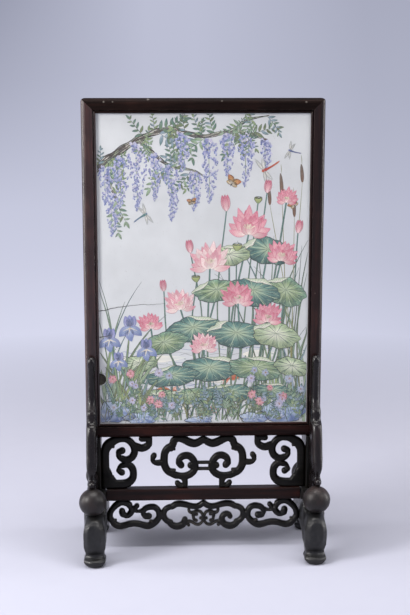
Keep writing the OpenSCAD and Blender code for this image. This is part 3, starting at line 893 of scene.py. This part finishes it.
def blade(paint, start, angle, length, width, curl, tones, level, veins, line, weight):
    path = bend(start, angle, length, curl, 10)
    sides = ribbon(paint, path, full(10, width), tones, level, 4)
    strokes(sides, weight, line, level + 0.4)
    for k in range(veins):
        share = (k + 1) / (veins + 1) * 2 - 1
        across = path + (sides[0] - path) * share
        stroke(across[1:-1], weight * 0.6, line, level + 0.4)


def leaflet(start, angle, length, width, tones, level):  # a small leaf in two brush marks
    path = bend(start, angle, length, roll(-25, 25), 6)
    sides = ribbon("sprig", path, full(6, width), tones, level, 2)
    stroke(path, 0.17, "tealDark", level + 0.4, "line")
    stroke(pick(sides), 0.15, "ink", level + 0.4, "line")


def sprig(at, angle, length, level, pairs, lean, plump):
    path = bend(at, angle, length, roll(-40, 40), 2 * pairs + 1)
    stroke(path, 0.34, "tealDark", level, "line")
    tones = pick(leafTones)
    for i in range(1, pairs + 1):
        heading = math.degrees(math.atan2(*(path[2 * i] - path[2 * i - 1])[::-1]))
        long = length * 0.36 * (1.1 - 0.5 * i / pairs)
        for side in (-1, 1):
            shade = tones if dice.random() < 0.7 else pick(leafTones)
            turn = heading + side * (lean + roll(-8, 8))
            leaflet(path[2 * i - (side > 0)], turn, long, long * plump, shade, level + 0.5 + i % 2)
    leaflet(path[-1], heading, length * 0.3, length * 0.3 * plump, tones, level + 1)


# Lotus: petals in rows from the back to the front, as shares of the blossom's size
petalRows = (
    {"spread": 62, "count": 7, "long": 0.52, "wide": 0.085, "rise": 0.10},
    {"spread": 84, "count": 8, "long": 0.46, "wide": 0.088, "rise": 0.03},
    {"spread": 50, "count": 5, "long": 0.40, "wide": 0.095, "rise": 0.0},
    {"spread": 102, "count": 4, "long": 0.42, "wide": 0.075, "rise": -0.02},
    {"spread": 30, "count": 3, "long": 0.31, "wide": 0.095, "rise": -0.03},
)
podWidths = np.array([0.08, 0.16, 0.24, 0.31, 0.36, 0.38, 0.36])
lotusPad = {"spokes": 54, "rings": 9, "foldOver": 27, "foldSpan": 12}


def lotusBlossom(at, size, tilt, level, fair):
    for k, row in enumerate(petalRows):
        for i in range(row["count"]):
            turn = row["spread"] * (2 * i / (row["count"] - 1) - 1) + roll(-6, 6)
            start = (at[0] + turn * size * 0.0008, at[1] + row["rise"] * size)
            long = size * row["long"] * roll(0.86, 1.1) * (1 - 0.1 * abs(turn) / 100)
            tip = pick(("pinkPale", "pink") if fair else ("pink", "pink", "rose"))
            tones = ("cream", tip, "pinkPale" if fair else "pink")
            wide = size * row["wide"] * roll(0.9, 1.12)
            heading = 90 + tilt - turn
            order = level + k * 2 + i % 2
            blade("lotus", start, heading, long, wide, turn * 0.35, tones, order, 5, "rose", 0.2)
    for i in range(14):  # stamens
        start = (at[0] + roll(-1, 1) * size * 0.05, at[1] + size * 0.10)
        path = bend(start, 90 + tilt + roll(-70, 70), size * 0.12, 0, 4)
        ribbon("lotus", path, np.array([0.2, 0.25, 0.35, 0.5]), ("ochre", "ochre", "cream"), level + 11, 1)


def lotusBud(at, size, tilt, level):
    tones = ("pinkPale", "rose", "pink")
    for turn in (-16, 15, 0):
        order = level + (turn == 0)
        blade("lotus", at, 90 + tilt - turn, size, size * 0.17, turn * 0.9, tones, order, 4, "wine", 0.2)


def seedPod(at, size, tilt, level):
    path = bend(at, 90 + tilt, size * 0.55, 0, 7)
    half = size * podWidths
    strokes(ribbon("reed", path, half, ("green", "lime", "olive"), level, 4), 0.28, "ink", level + 0.4)
    t = np.linspace(0, 2 * np.pi, 17)
    oval = np.stack([np.cos(t), np.sin(t) * 0.3], 1) * half[-1]
    for share in (1, 0.88):
        stroke(path[-1] + oval * share, 0.3, "tealDark", level + 0.5)
    for a in np.linspace(-0.7, 0.7, 6):
        seed = path[-1] + (a * half[-1], roll(-1, 1) * size * 0.04)
        ribbon("reed", bend(seed, 0, 1.6, 0, 4), full(4, 0.8), ("olive", "brown", "ink"), level + 0.8, 1)


def lotusLeaf(at, wide, high, tilt, level, tones):
    spokes = lotusPad["spokes"]
    rings = np.linspace(0, 1, lotusPad["rings"])
    angle = np.linspace(0, 2 * np.pi, spokes + 1)
    phase = roll(0, 6)
    wave = 1 + 0.05 * np.sin(5 * angle + phase) + 0.035 * np.sin(9 * angle + phase * 2)
    wave = wave + 0.02 * np.sin(17 * angle)
    lean = math.radians(tilt)
    turned = np.array([[math.cos(lean), math.sin(lean)], [-math.sin(lean), math.cos(lean)]])
    reach = rings[:, None] * wave[None]
    x = wide * reach * np.cos(angle)
    z = high * reach * np.sin(angle) + high * 0.16 * (1 - rings[:, None])
    grid = np.stack([x, z], -1) @ turned + at
    middle, body, rim = tones
    out = rings[:, None, None]
    colour = blend(middle, body, np.clip(out * 1.7, 0, 1)) + np.zeros((1, spokes + 1, 1))
    colour = colour + (paintTones[rim] - colour) * (np.clip(out - 0.45, 0, 1) * 1.3)
    light = 1 + 0.24 * np.sin(angle * 9 + phase)[None, :, None] * out
    far = 1 + 0.26 * np.sin(angle)[None, :, None] * out
    blotch = 1 + 0.12 * np.sin(angle * 23 + rings[:, None] * 31)[..., None]
    paints["leaf"].sheet(grid, colour * light * far * blotch, level)
    for i in range(0, spokes, 3):  # main veins and their forks
        path = grid[:, i]
        stroke(path, 0.30, "greenPale" if i % 2 else "tealDark", level + 0.4)
        for share in (0.45, 0.6, 0.75, 0.88):
            for turn in (-1, 1):
                start = path[0] + (path[-1] - path[0]) * share
                end = start + (grid[-1, (i + turn) % spokes] - start) * 0.7
                tone = pick(("tealDark", "tealDark", "greenPale"))
                stroke(np.linspace(start, end, 3), 0.16, tone, level + 0.4, "line")
    stroke(grid[-1], 0.42, "ink", level + 0.5)
    if wide > lotusPad["foldOver"]:  # a stretch of rim folds over and shows its pale side
        first = dice.randrange(4, 20)
        outer = grid[-1, first:first + lotusPad["foldSpan"]]
        t = np.linspace(0, 1, len(outer))
        inner = outer + (at - outer) * (0.30 * np.sin(np.pi * t))[:, None]
        steps = np.linspace(0, 1, 4)[:, None, None]
        fold = outer + (inner - outer) * steps
        shade = blend("greenPale", "cream", steps) + np.zeros_like(fold[..., :1])
        paints["leaf"].sheet(fold, shade, level + 0.7)
        stroke(inner, 0.3, "ink", level + 0.9)
        for k in range(2, len(outer) - 2):
            stroke(np.linspace(outer[k], inner[k], 3), 0.16, "teal", level + 0.9, "line")


def stem(foot, at, half, level):
    sway = roll(-14, 14)
    path = through([foot, ((foot[0] + at[0]) / 2 + sway, (foot[1] + at[1]) / 2), at])
    sides = ribbon("leaf", path, np.full(len(path), half), ("green", "teal", "tealDark"), level, 2)
    strokes(sides, 0.2, "ink", level + 0.3)
    for p, q in list(zip(*sides))[::2]:  # prickles
        stroke(np.array([p, p + (p - q) * 0.3]), 0.22, "tealDark", level + 0.3, "line")


# Wisteria, irises and asters
racemeTones = (("cream", "lilac", "violet"), ("lilac", "violet", "blue"), ("bluePale", "lilac", "violet"))
asterTones = (("cream", "lilac", "violet"), ("cream", "pink", "rose"), ("cream", "bluePale", "blue"))


def raceme(at, length, width, level):
    count = int(length * 1.35)
    for i in range(count):
        s = (i + dice.random()) / count
        spread = width * (1 - s) ** 0.6 * (0.35 + 0.65 * min(1, s * 5))
        x = at[0] + roll(-1, 1) * spread + 3 * math.sin(s * 3)
        z = at[1] - s * length
        size = 4.8 * (1 - 0.45 * s) * roll(0.75, 1.15)
        turn = roll(-50, 50)
        shade = pick(racemeTones)
        order = level + i % 3
        standard = bend((x, z), 90 + turn, size, 0, 5)
        ribbon("wisteria", standard, full(5, size * 0.42), shade, order, 2)
        keel = bend((x, z + 0.6), 250 + turn, size * 0.6, 0, 5)
        ribbon("wisteria", keel, full(5, size * 0.26), ("violet", "blue", "blue"), order + 1, 2)
        stroke(bend((x, z), 90 + turn, size * 0.8, 20, 4), 0.16, "blue", level + 4, "line")
    stroke(np.linspace(at, (at[0] + 2, at[1] - length), 6), 0.35, "green", level)


def iris(at, size, level):
    for turn, first in ((-28, "lilac"), (26, "lilac"), (-2, "bluePale")):
        tones = (first, "violet", "blue")
        blade("wisteria", at, 90 - turn, size * 0.52, size * 0.15, turn * 0.5, tones, level, 3, "blue", 0.2)
    tones = ("bluePale", "blue", "violet")
    for turn in (-116, 112, -168):
        heading = 90 - turn
        curl = -turn * 0.25
        blade("wisteria", at, heading, size * 0.56, size * 0.17, curl, tones, level + 1, 3, "blue", 0.2)
        beard = bend(at, heading, size * 0.3, 0, 4)
        ribbon("lotus", beard, np.array([0.7, 0.6, 0.4, 0.2]), ("ochre", "ochre", "cream"), level + 2, 1)


def aster(at, size, level):
    tones = pick(asterTones)
    for i in range(15):
        petal = bend(at, i * 24 + roll(-8, 8), size * roll(0.4, 0.52), 10, 5)
        ribbon("wisteria", petal, full(5, size * 0.065), tones, level + i % 2, 2)
        stroke(petal, 0.12, tones[2], level + 2, "line")
    for i in range(8):
        dot = (at[0] + roll(-1, 1) * size * 0.09, at[1] + roll(-1, 1) * size * 0.09)
        ribbon("lotus", bend(dot, 40, 1.0, 0, 4), full(4, 0.5), ("ochre", "orange", "brown"), level + 3, 1)


# Insects, fish and stones
dragonflyWidths = np.array([1.4, 1.3, 1.0, 0.85, 0.8, 0.75, 0.7, 0.75, 0.3]) / 26


def dragonfly(at, size, angle, tones, level):
    wing = ("cream", "wash", "inkGrey")
    for side in (-1, 1):
        for lean, long in ((72, 0.52), (104, 0.47)):
            heading = angle + side * lean
            reach = size * long
            blade("water", at, heading, reach, size * 0.055, side * 8, wing, level, 3, "inkGrey", 0.18)
    back = bend(at, angle + 180, size * 0.62, 14, 9)
    ribbon("creature", back, dragonflyWidths * size, tones, level + 1, 2)
    for p in back[1:]:
        stroke(np.array([p + (-0.6, 0.5), p + (0.6, -0.5)]), 0.2, "ink", level + 1.4)
    ribbon("creature", bend(at, angle, size * 0.10, 0, 5), full(5, size * 0.055), tones, level + 1, 2)


def fish(at, size, angle, level):
    body = bend(at, angle, size * 0.62, 16, 10)
    sides = ribbon("creature", body, full(10, size * 0.13), ("red", "orange", "ochre"), level, 4)
    strokes(sides, 0.24, "wine", level + 0.4)
    for k in range(2, 8):
        for share in (-0.5, 0, 0.5):
            scale = body[k] + (sides[0][k] - body[k]) * share
            stroke(bend(scale, angle + 60, 1.6, 60, 4), 0.16, "wine", level + 0.5, "line")
    tones = ("orange", "cream", "orange")
    for lean in (-34, -6, 26):
        heading = angle + 180 + lean
        curl = lean * 0.8
        blade("creature", at, heading, size * 0.42, size * 0.075, curl, tones, level - 0.6, 3, "red", 0.16)


def butterfly(at, size, angle, level):
    front = ("ochre", "orange", "brown")
    rear = ("cream", "ochre", "brown")
    for side in (-1, 1):
        heading = angle + side * 48
        blade("creature", at, heading, size * 0.6, size * 0.2, side * 20, front, level, 5, "ink", 0.2)
        heading = angle + side * 112
        blade("creature", at, heading, size * 0.42, size * 0.16, -side * 10, rear, level, 4, "ink", 0.2)
        stroke(bend(at, angle + side * 14, size * 0.4, side * 30, 6), 0.18, "ink", level + 1)
    body = bend(at, angle + 180, size * 0.3, 0, 5)
    ribbon("ink", body, full(5, size * 0.04), ("ink", "ink", "ink"), level + 1, 1)


def stone(at, wide, high, level):
    spokes = 40
    angle = np.linspace(0, 2 * np.pi, spokes + 1)
    phase = roll(0, 6)
    wave = 1 + 0.13 * np.sin(3 * angle + phase) + 0.07 * np.sin(7 * angle + 2 * phase)
    wave = wave + 0.03 * np.sin(13 * angle)
    rings = np.linspace(0, 1, 8)[:, None]
    rim = np.stack([wide * np.cos(angle) * wave, high * np.sin(angle) * wave], -1)
    grid = rim[None] * rings[..., None] + at
    facet = 0.28 * np.sin(angle * 6 + rings * 5 + phase)
    light = np.clip(0.55 + 0.5 * np.sin(angle - 0.5)[None] * rings + facet, 0, 1)[..., None]
    paints["water"].sheet(grid, blend("blue", "bluePale", light), level)
    stroke(grid[-1], 0.5, "ink", level + 0.5)
    for i in range(34):
        start = grid[dice.randrange(1, 7), dice.randrange(spokes)]
        tone = pick(("blue", "inkGrey", "ink", "cream"))
        mark = bend(start, roll(140, 260), high * roll(0.2, 0.5), 50, 5)
        stroke(mark, 0.24, tone, level + 0.5, "line")
    for i in range(16):
        start = grid[-2, dice.randrange(2, spokes // 2)]
        moss = bend(start, roll(60, 120), roll(1.2, 2.4), 0, 4)
        ribbon("sprig", moss, full(4, 0.7), pick(leafTones), level + 0.7, 1)


# The whole picture, from the water up: places, sizes and angles
pond = {
    "washes": 16,
    "ripples": 70,
    "weeds": 190,
    "stones": (
        ((20, 16), 26, 15), ((56, 7), 22, 10), ((252, 14), 30, 16), ((212, 6), 20, 9), ((136, 4), 18, 6),
    ),
    "fish": (((96, 46), 34, 172), ((176, 62), 30, 12), ((150, 18), 26, 200)),
}


def paintPond():
    for i in range(pond["washes"]):
        at = (roll(0, 230), roll(2, 100))
        path = bend(at, 0, roll(40, 80), roll(-8, 8), 8)
        order = layers["wash"] + i * 0.05
        ribbon("water", path, full(8, roll(3, 7)), ("cream", "wash", "cream"), order, 2, 0.03)
    t = np.linspace(0, 1, 12)
    for i in range(pond["ripples"]):
        at = (roll(-10, 240), roll(3, 120))
        path = np.stack([at[0] + t * roll(22, 70), at[1] + 1.1 * np.sin(t * 9 + i)], 1)
        half = roll(0.16, 0.34)
        stroke(path, half, pick(("inkGrey", "blue", "inkGrey")), layers["ripple"])
    for at, wide, high in pond["stones"]:
        stone(at, wide, high, layers["stone"])
    for at, size, angle in pond["fish"]:
        fish(at, size, angle, layers["fish"])
    for i in range(pond["weeds"]):
        at = (roll(4, 280), roll(3, 110))
        path = bend(at, roll(0, 360), roll(1.4, 2.8), 0, 4)
        ribbon("sprig", path, full(4, roll(0.7, 1.2)), pick(leafTones), layers["weed"], 1)


reedBed = {
    "reeds": 34,
    "onRight": 24,
    "cattails": (((246, 312), 30), ((263, 284), 27), ((230, 300), 24), ((273, 330), 24)),
    "irisLeaves": 18,
    "irises": (((14, 118), 32), ((42, 134), 34), ((64, 104), 30), ((26, 88), 26)),
}


def paintReeds():
    for i in range(reedBed["reeds"]):
        onRight = i < reedBed["onRight"]
        start = (roll(226, 282) if onRight else roll(2, 34), roll(0, 24))
        angle = roll(78, 104)
        path = bend(start, angle, roll(110, 270 if onRight else 190), roll(-50, 60), 14)
        half = roll(0.8, 1.9) * (1 - np.linspace(0, 1, 14) ** 2) + 0.12
        order = layers["reed"] + i % 4
        sides = ribbon("reed", path, half, pick(leafTones), order, 2)
        stroke(path, 0.18, "tealDark", order + 0.5, "line")
        stroke(sides[0], 0.18, "ink", order + 0.5, "line")
    order = layers["cattail"]
    for at, high in reedBed["cattails"]:
        stroke(through([(262, 20), (256 + roll(-8, 8), 150), at]), 0.5, "olive", order)
        head = bend(at, 92, high, 6, 8)
        ribbon("reed", head, full(8, 3.0) ** 0.5 * 1.4, ("brown", "bark", "barkDark"), order + 1, 4)
        stroke(bend((at[0] - 1, at[1] + high), 92, 12, 6, 4), 0.35, "olive", order + 1)
    for i in range(reedBed["irisLeaves"]):
        start = (30 + roll(-24, 26), 22 + roll(-8, 8))
        tones = pick(leafTones)
        lean = roll(-30, 26)
        long = roll(44, 112)
        wide = roll(1.4, 2.5)
        order = layers["irisLeaf"] + i % 3
        blade("reed", start, 90 + lean, long, wide, lean * 0.7, tones, order, 1, "ink", 0.2)
    for at, size in reedBed["irises"]:
        path = through([(30, 26), ((30 + at[0]) / 2, at[1] * 0.6), at])
        stroke(path, 0.7, "green", layers["irisStem"])
        iris(at, size, layers["iris"])


padTones = {
    "deep": ("greenPale", "teal", "tealDark"),
    "mild": ("greenPale", "green", "teal"),
    "pale": ("cream", "greenPale", "green"),
}
lotusPads = (  # place, half width, half height, tilt and tones
    ((228, 238), 32, 18, -12, "deep"), ((176, 232), 28, 14, 8, "pale"), ((252, 182), 28, 19, -18, "mild"),
    ((208, 182), 36, 19, -6, "deep"), ((160, 184), 32, 15, 6, "mild"), ((128, 132), 36, 17, 8, "deep"),
    ((186, 124), 40, 18, -5, "deep"), ((240, 122), 32, 17, -10, "pale"), ((88, 112), 32, 15, 12, "mild"),
    ((150, 76), 42, 17, 2, "deep"), ((214, 76), 38, 16, -6, "mild"), ((98, 66), 36, 14, 6, "deep"),
    ((262, 78), 24, 13, -12, "pale"), ((54, 84), 25, 12, 10, "pale"), ((178, 42), 36, 12, 0, "deep"),
    ((122, 38), 32, 11, 4, "mild"), ((236, 44), 28, 11, -4, "deep"), ((76, 38), 26, 10, 4, "pale"),
)
lotusFlowers = {  # place, size and tilt
    "blossoms": (
        ((202, 262), 58, -6), ((150, 216), 56, 8), ((246, 226), 46, -14), ((188, 168), 48, 2),
        ((110, 160), 46, 10), ((228, 142), 42, -6), ((70, 134), 36, 12), ((142, 104), 40, 4),
        ((252, 304), 32, -10),
    ),
    "buds": (
        ((172, 292), 22, 6), ((226, 316), 18, -8), ((268, 262), 18, -10), ((124, 236), 18, 8),
        ((88, 184), 16, 6),
    ),
    "pods": (((186, 238), 17, -6), ((132, 196), 15, 8), ((214, 302), 14, -4)),
}


def paintLotus():
    for k, (at, *form) in enumerate(lotusPads):
        foot = (at[0] * 0.6 + 56 + roll(-16, 16), 4)
        stem(foot, at, 1.0, layers["leafStem"] + k * 0.1)
    for k, (at, wide, high, tilt, tones) in enumerate(lotusPads):
        order = layers["lotusLeaf"] + k * 0.7
        lotusLeaf(np.array(at, float), wide, high, tilt, order, padTones[tones])
    for k, (at, size, tilt) in enumerate(lotusFlowers["blossoms"]):
        stem((at[0] * 0.6 + 60, 10), at, 1.0, layers["flowerStem"])
        lotusBlossom(at, size, tilt, layers["blossom"], k % 3 == 1)
    for at, size, tilt in lotusFlowers["buds"]:
        stem((at[0] * 0.7 + 45, 60), at, 0.7, layers["budStem"])
        lotusBud(at, size, tilt, layers["bud"])
    for at, size, tilt in lotusFlowers["pods"]:
        stem((at[0] * 0.7 + 40, 60), at, 0.7, layers["budStem"])
        seedPod(at, size, tilt, layers["pod"])


bank = {"sprigs": 46, "grass": 110, "asters": 26}


def paintBank():  # small growth along the water's edge
    for i in range(bank["sprigs"]):
        at = (roll(4, 278), roll(1, 20) + 16 * dice.random() ** 2)
        angle = 90 + roll(-60, 60)
        long = roll(15, 30)
        sprig(at, angle, long, layers["bank"] + i * 0.05, pick((3, 4, 5)), 48, 0.22)
    for i in range(bank["grass"]):
        at = (roll(2, 280), roll(0, 16))
        path = bend(at, 90 + roll(-30, 30), roll(14, 48), roll(-50, 50), 8)
        half = roll(0.25, 0.6)
        stroke(path, half, pick(("tealDark", "olive", "green", "teal", "ink")), layers["grass"])
    order = layers["asterStem"]
    for i in range(bank["asters"]):
        x = roll(196, 276) if i % 2 else roll(6, 104)
        z = roll(22, 74)
        path = through([(x + roll(-10, 10), 4), (x + roll(-6, 6), z * 0.5), (x, z)])
        stroke(path, 0.3, "tealDark", order)
        sprig((x, z * 0.55), 90 + pick((-45, 45)), roll(9, 15), order, 3, 46, 0.24)
        aster((x, z), roll(9, 15), layers["aster"])


vines = (  # half width at the root, and points
    (5.2, ((-6, 346), (22, 366), (58, 388), (96, 400), (140, 391), (184, 398), (226, 386))),
    (2.6, ((56, 387), (78, 366), (98, 352), (128, 346), (146, 336))),
    (2.4, ((20, 365), (15, 336), (26, 306), (20, 288))),
    (1.8, ((178, 397), (200, 412), (228, 418))),
)
vineSprigs = {"back": 34, "front": 14}
racemes = (  # place and length
    (30, 362, 66), (52, 380, 88), (76, 366, 60), (98, 350, 72), (128, 342, 50), (112, 394, 50),
    (148, 386, 84), (172, 392, 54), (196, 392, 68), (222, 384, 40), (18, 314, 56), (10, 350, 50),
)


def paintWisteria():
    paths = [through(points) for root, points in vines]
    order = layers["vine"]
    for path, (root, points) in zip(paths, vines):
        count = len(path)
        knots = 1 + 0.2 * np.sin(np.arange(count) * 1.3)
        half = root * (1 - 0.8 * np.linspace(0, 1, count)) * knots
        sides = ribbon("vine", path, half, ("barkDark", "bark", "barkDark"), order, 4)
        strokes(sides, 0.45, "ink", order + 0.5)
        for i in range(count * 4):  # marks in the bark
            k = dice.randrange(count - 3)
            part = path[k:k + 3]
            mark = part + (sides[0][k:k + 3] - part) * roll(-0.85, 0.85)
            tone = pick(("ink", "barkDark", "inkGrey", "greenPale", "cream"))
            stroke(mark, roll(0.2, 0.4), tone, order + 0.6)
    twigs = (paths[0], paths[0], *paths)
    for i in range(vineSprigs["back"]):
        path = pick(twigs)
        at = path[dice.randrange(2, len(path) - 1)]
        angle = pick((1, -1)) * roll(20, 160)
        sprig(at, angle, roll(24, 40), layers["backSprig"] + i * 0.12, 5, 56, 0.17)
    for k, (x, z, length) in enumerate(racemes):
        raceme((x, z), length, 8 + length * 0.07, layers["raceme"] + (k % 3) * 0.3)
    for i in range(vineSprigs["front"]):
        path = pick(twigs)
        at = path[dice.randrange(2, len(path) - 1)]
        sprig(at, roll(20, 160), roll(18, 30), layers["frontSprig"] + i * 0.1, 4, 54, 0.18)


def paintCreatures():
    order = layers["insect"]
    dragonfly((222, 346), 38, 205, ("red", "orange", "wine"), order)
    dragonfly((64, 288), 30, 28, ("teal", "blue", "tealDark"), layers["nearInsect"])
    dragonfly((256, 372), 25, 160, ("blue", "violet", "ink"), order)
    butterfly((180, 330), 20, 60, order)
    butterfly((262, 300), 15, 130, order)
    butterfly((126, 304), 13, 100, order)


cracks = (  # two old cracks from the left edge, stained by age
    (0.5, ((0, 157.5), (10, 159), (22, 162), (38, 164), (56, 166), (74, 166), (90, 167.5))),
    (0.7, ((0, 121), (8, 122.5), (17, 124))),
)


def paintCracks():
    for root, points in cracks:
        path = through(points, 6)
        path[:, 1] += [roll(-0.35, 0.35) for p in path]
        half = root * (1 - 0.75 * np.linspace(0, 1, len(path)))
        ribbon("ink", path, half, ("ink", "inkGrey", "ink"), layers["crack"], 1)


def enamelFinish(name, low, high, coat):
    paint = Finish(name)
    tone = paint.add("Attribute", {"attribute_name": "tone"}, out="Color")
    spot = paint.spot()
    brush = paint.grain(spot, 380, 4, 0.7)
    worn = paint.grain(spot, 90, 3, 0.6)
    colour = paint.mix(brush.between(0.35, 0.75) * 0.12, tone, srgb(222, 222, 218))
    colour = paint.mix(worn.between(0.6, 0.8) * 0.16, colour, srgb(206, 208, 208))
    paint.set(
        Base_Color=colour,
        Roughness=low + (high - low) * brush,
        Normal=paint.bump(brush + worn * 0.6, 0.16, 0.3 * mm),
        Coat_Weight=coat,
        Coat_Roughness=0.12,
    )
    return paint.material


paintPond()
paintReeds()
paintLotus()
paintBank()
paintWisteria()
paintCreatures()
paintCracks()
thickEnamel = enamelFinish("thickEnamel", 0.20, 0.42, 0.25)
thinEnamel = enamelFinish("thinEnamel", 0.30, 0.55, 0.1)
for name, paint in paints.items():
    paint.done(thinEnamel if name in ("ink", "line", "water") else thickEnamel)
print("plaque painted")


# Floor, backdrop and light, in metres
stageLook = {
    "floor": srgb(180, 182, 199),  # lit paper round the object
    "farFloor": srgb(219, 221, 241),  # the rest shows as written to the camera and in reflections
    # darker than the far floor: painted shade on the far wall
    "farWall": srgb(188, 191, 211),
    # painted shade on the far backdrop: darker in the upper left corner and on the right side
    "paintedShadeLeftCorner": srgb(148, 151, 170),
    "rightShade": srgb(166, 169, 188),
    "farFrom": (0.6, 1.5),
    "wallFrom": (1.1, 4.2),
    "upperFrom": (0.15, 0.95),
    "cornerFrom": (0.1, 0.8),
    "sideFade": (5.0, 2.2),
    "wallPlace": 3.6,
    "wallTop": 4.0,
    "bendRadius": 1.2,
    "bendSteps": 16,
    "width": 12.0,
    "front": -6.0,
}


def sweepFinish():
    cloth = Finish("sweepPaper")
    place = cloth.add("TexCoord", out="Object")
    height = cloth.add("SeparateXYZ", None, {0: place}, out="Z")
    across = cloth.add("SeparateXYZ", None, {0: place}, out="X")
    weave = cloth.grain(cloth.spot(), 30, 3)
    lit = cloth.mix(weave * 0.03, stageLook["floor"], srgb(255, 255, 255))
    cloth.set(Base_Color=lit, Roughness=0.9, Specular_IOR_Level=0.1)
    away = cloth.add("VectorMath", {"operation": "LENGTH"}, {0: place}, out="Value")
    wall = (away + height).between(*stageLook["wallFrom"])
    # painted shade: the far wall is given a darker tone than the far floor
    far = cloth.mix(wall, stageLook["farFloor"], stageLook["farWall"])
    # painted shade on the far backdrop: darker upwards in the left corner and along the right side
    higherShadeShare = height.between(*stageLook["upperFrom"])
    inner = across.maths("ABSOLUTE").between(*stageLook["sideFade"])
    left = (across * -1).between(*stageLook["cornerFrom"]) * inner
    right = across.between(*stageLook["cornerFrom"]) * inner
    far = cloth.mix(left * higherShadeShare, far, stageLook["paintedShadeLeftCorner"])
    far = cloth.mix(right * (0.4 + 0.5 * higherShadeShare), far, stageLook["rightShade"])
    glow = cloth.add("Emission", None, {"Color": far, "Strength": 1.0})
    share = away.between(*stageLook["farFrom"]) * cloth.seenDirectly()
    cloth.show(cloth.add("MixShader", None, {0: share, 1: cloth.shader, 2: glow}))
    return cloth.material


def makeStage():
    radius = stageLook["bendRadius"]
    start = stageLook["wallPlace"] - radius
    profile = [(stageLook["front"], 0.0)]
    for k in range(stageLook["bendSteps"] + 1):
        turn = math.pi / 2 * k / stageLook["bendSteps"]
        profile.append((start + radius * math.sin(turn), radius * (1 - math.cos(turn))))
    profile.append((stageLook["wallPlace"], stageLook["wallTop"]))
    half = stageLook["width"] / 2
    points = [(x, y, z) for y, z in profile for x in (-half, half)]
    faces = [(2 * k, 2 * k + 1, 2 * k + 3, 2 * k + 2) for k in range(len(profile) - 1)]
    mesh = bpy.data.meshes.new("sweep")
    mesh.from_pydata(points, [], faces)
    smoothSheet(mesh, sweepFinish())
    sweep = addObject("sweep", mesh)


lamps = {
    "keyLeft": {"place": (-1.58, -0.85, 1.15), "aim": (0, 0, 0.38), "size": (0.55, 0.95), "power": 42},
    "sideLeft": {"place": (-1.8, 0.10, 0.55), "aim": (0, 0, 0.40), "size": (0.5, 1.2), "power": 19},
    "fillRight": {"place": (1.35, -0.95, 1.35), "aim": (0, 0, 0.35), "size": (0.5, 0.8), "power": 10},
    "sideRight": {"place": (1.8, 0.10, 0.55), "aim": (0, 0, 0.40), "size": (0.4, 1.2), "power": 20},
    "overhead": {"place": (0.0, -0.21, 2.1), "aim": (0, 0, 0), "size": (1.4, 0.6), "power": 32},
}
lampTone = (1.0, 0.975, 0.95)


def makeLamps():
    for name, lamp in lamps.items():
        data = bpy.data.lights.new(name, "AREA")
        data.shape = "RECTANGLE"
        data.size, data.size_y = lamp["size"]
        data.energy = lamp["power"]
        data.color = lampTone
        item = addObject(name, data)
        item.location = lamp["place"]
        item.visible_camera = False
        ahead = Vector(lamp["aim"]) - Vector(lamp["place"])
        item.rotation_euler = ahead.to_track_quat("-Z", "Y").to_euler()


room = {"light": (0.85, 0.85, 0.88), "strength": 0.085}


def makeRoom():  # dim light on the object, the backdrop's tone where it is seen
    scene.world = bpy.data.worlds.new("studio")
    air = Shading(scene.world, "World")
    dim = air.add("Background", None, {"Color": room["light"], "Strength": room["strength"]})
    pale = air.add("Background", None, {"Color": stageLook["farWall"], "Strength": 1.0})
    air.show(air.add("MixShader", None, {0: air.seenDirectly(), 1: dim, 2: pale}))


makeStage()
makeLamps()
makeRoom()
scene.view_settings.view_transform = "Standard"
print("stage lit")
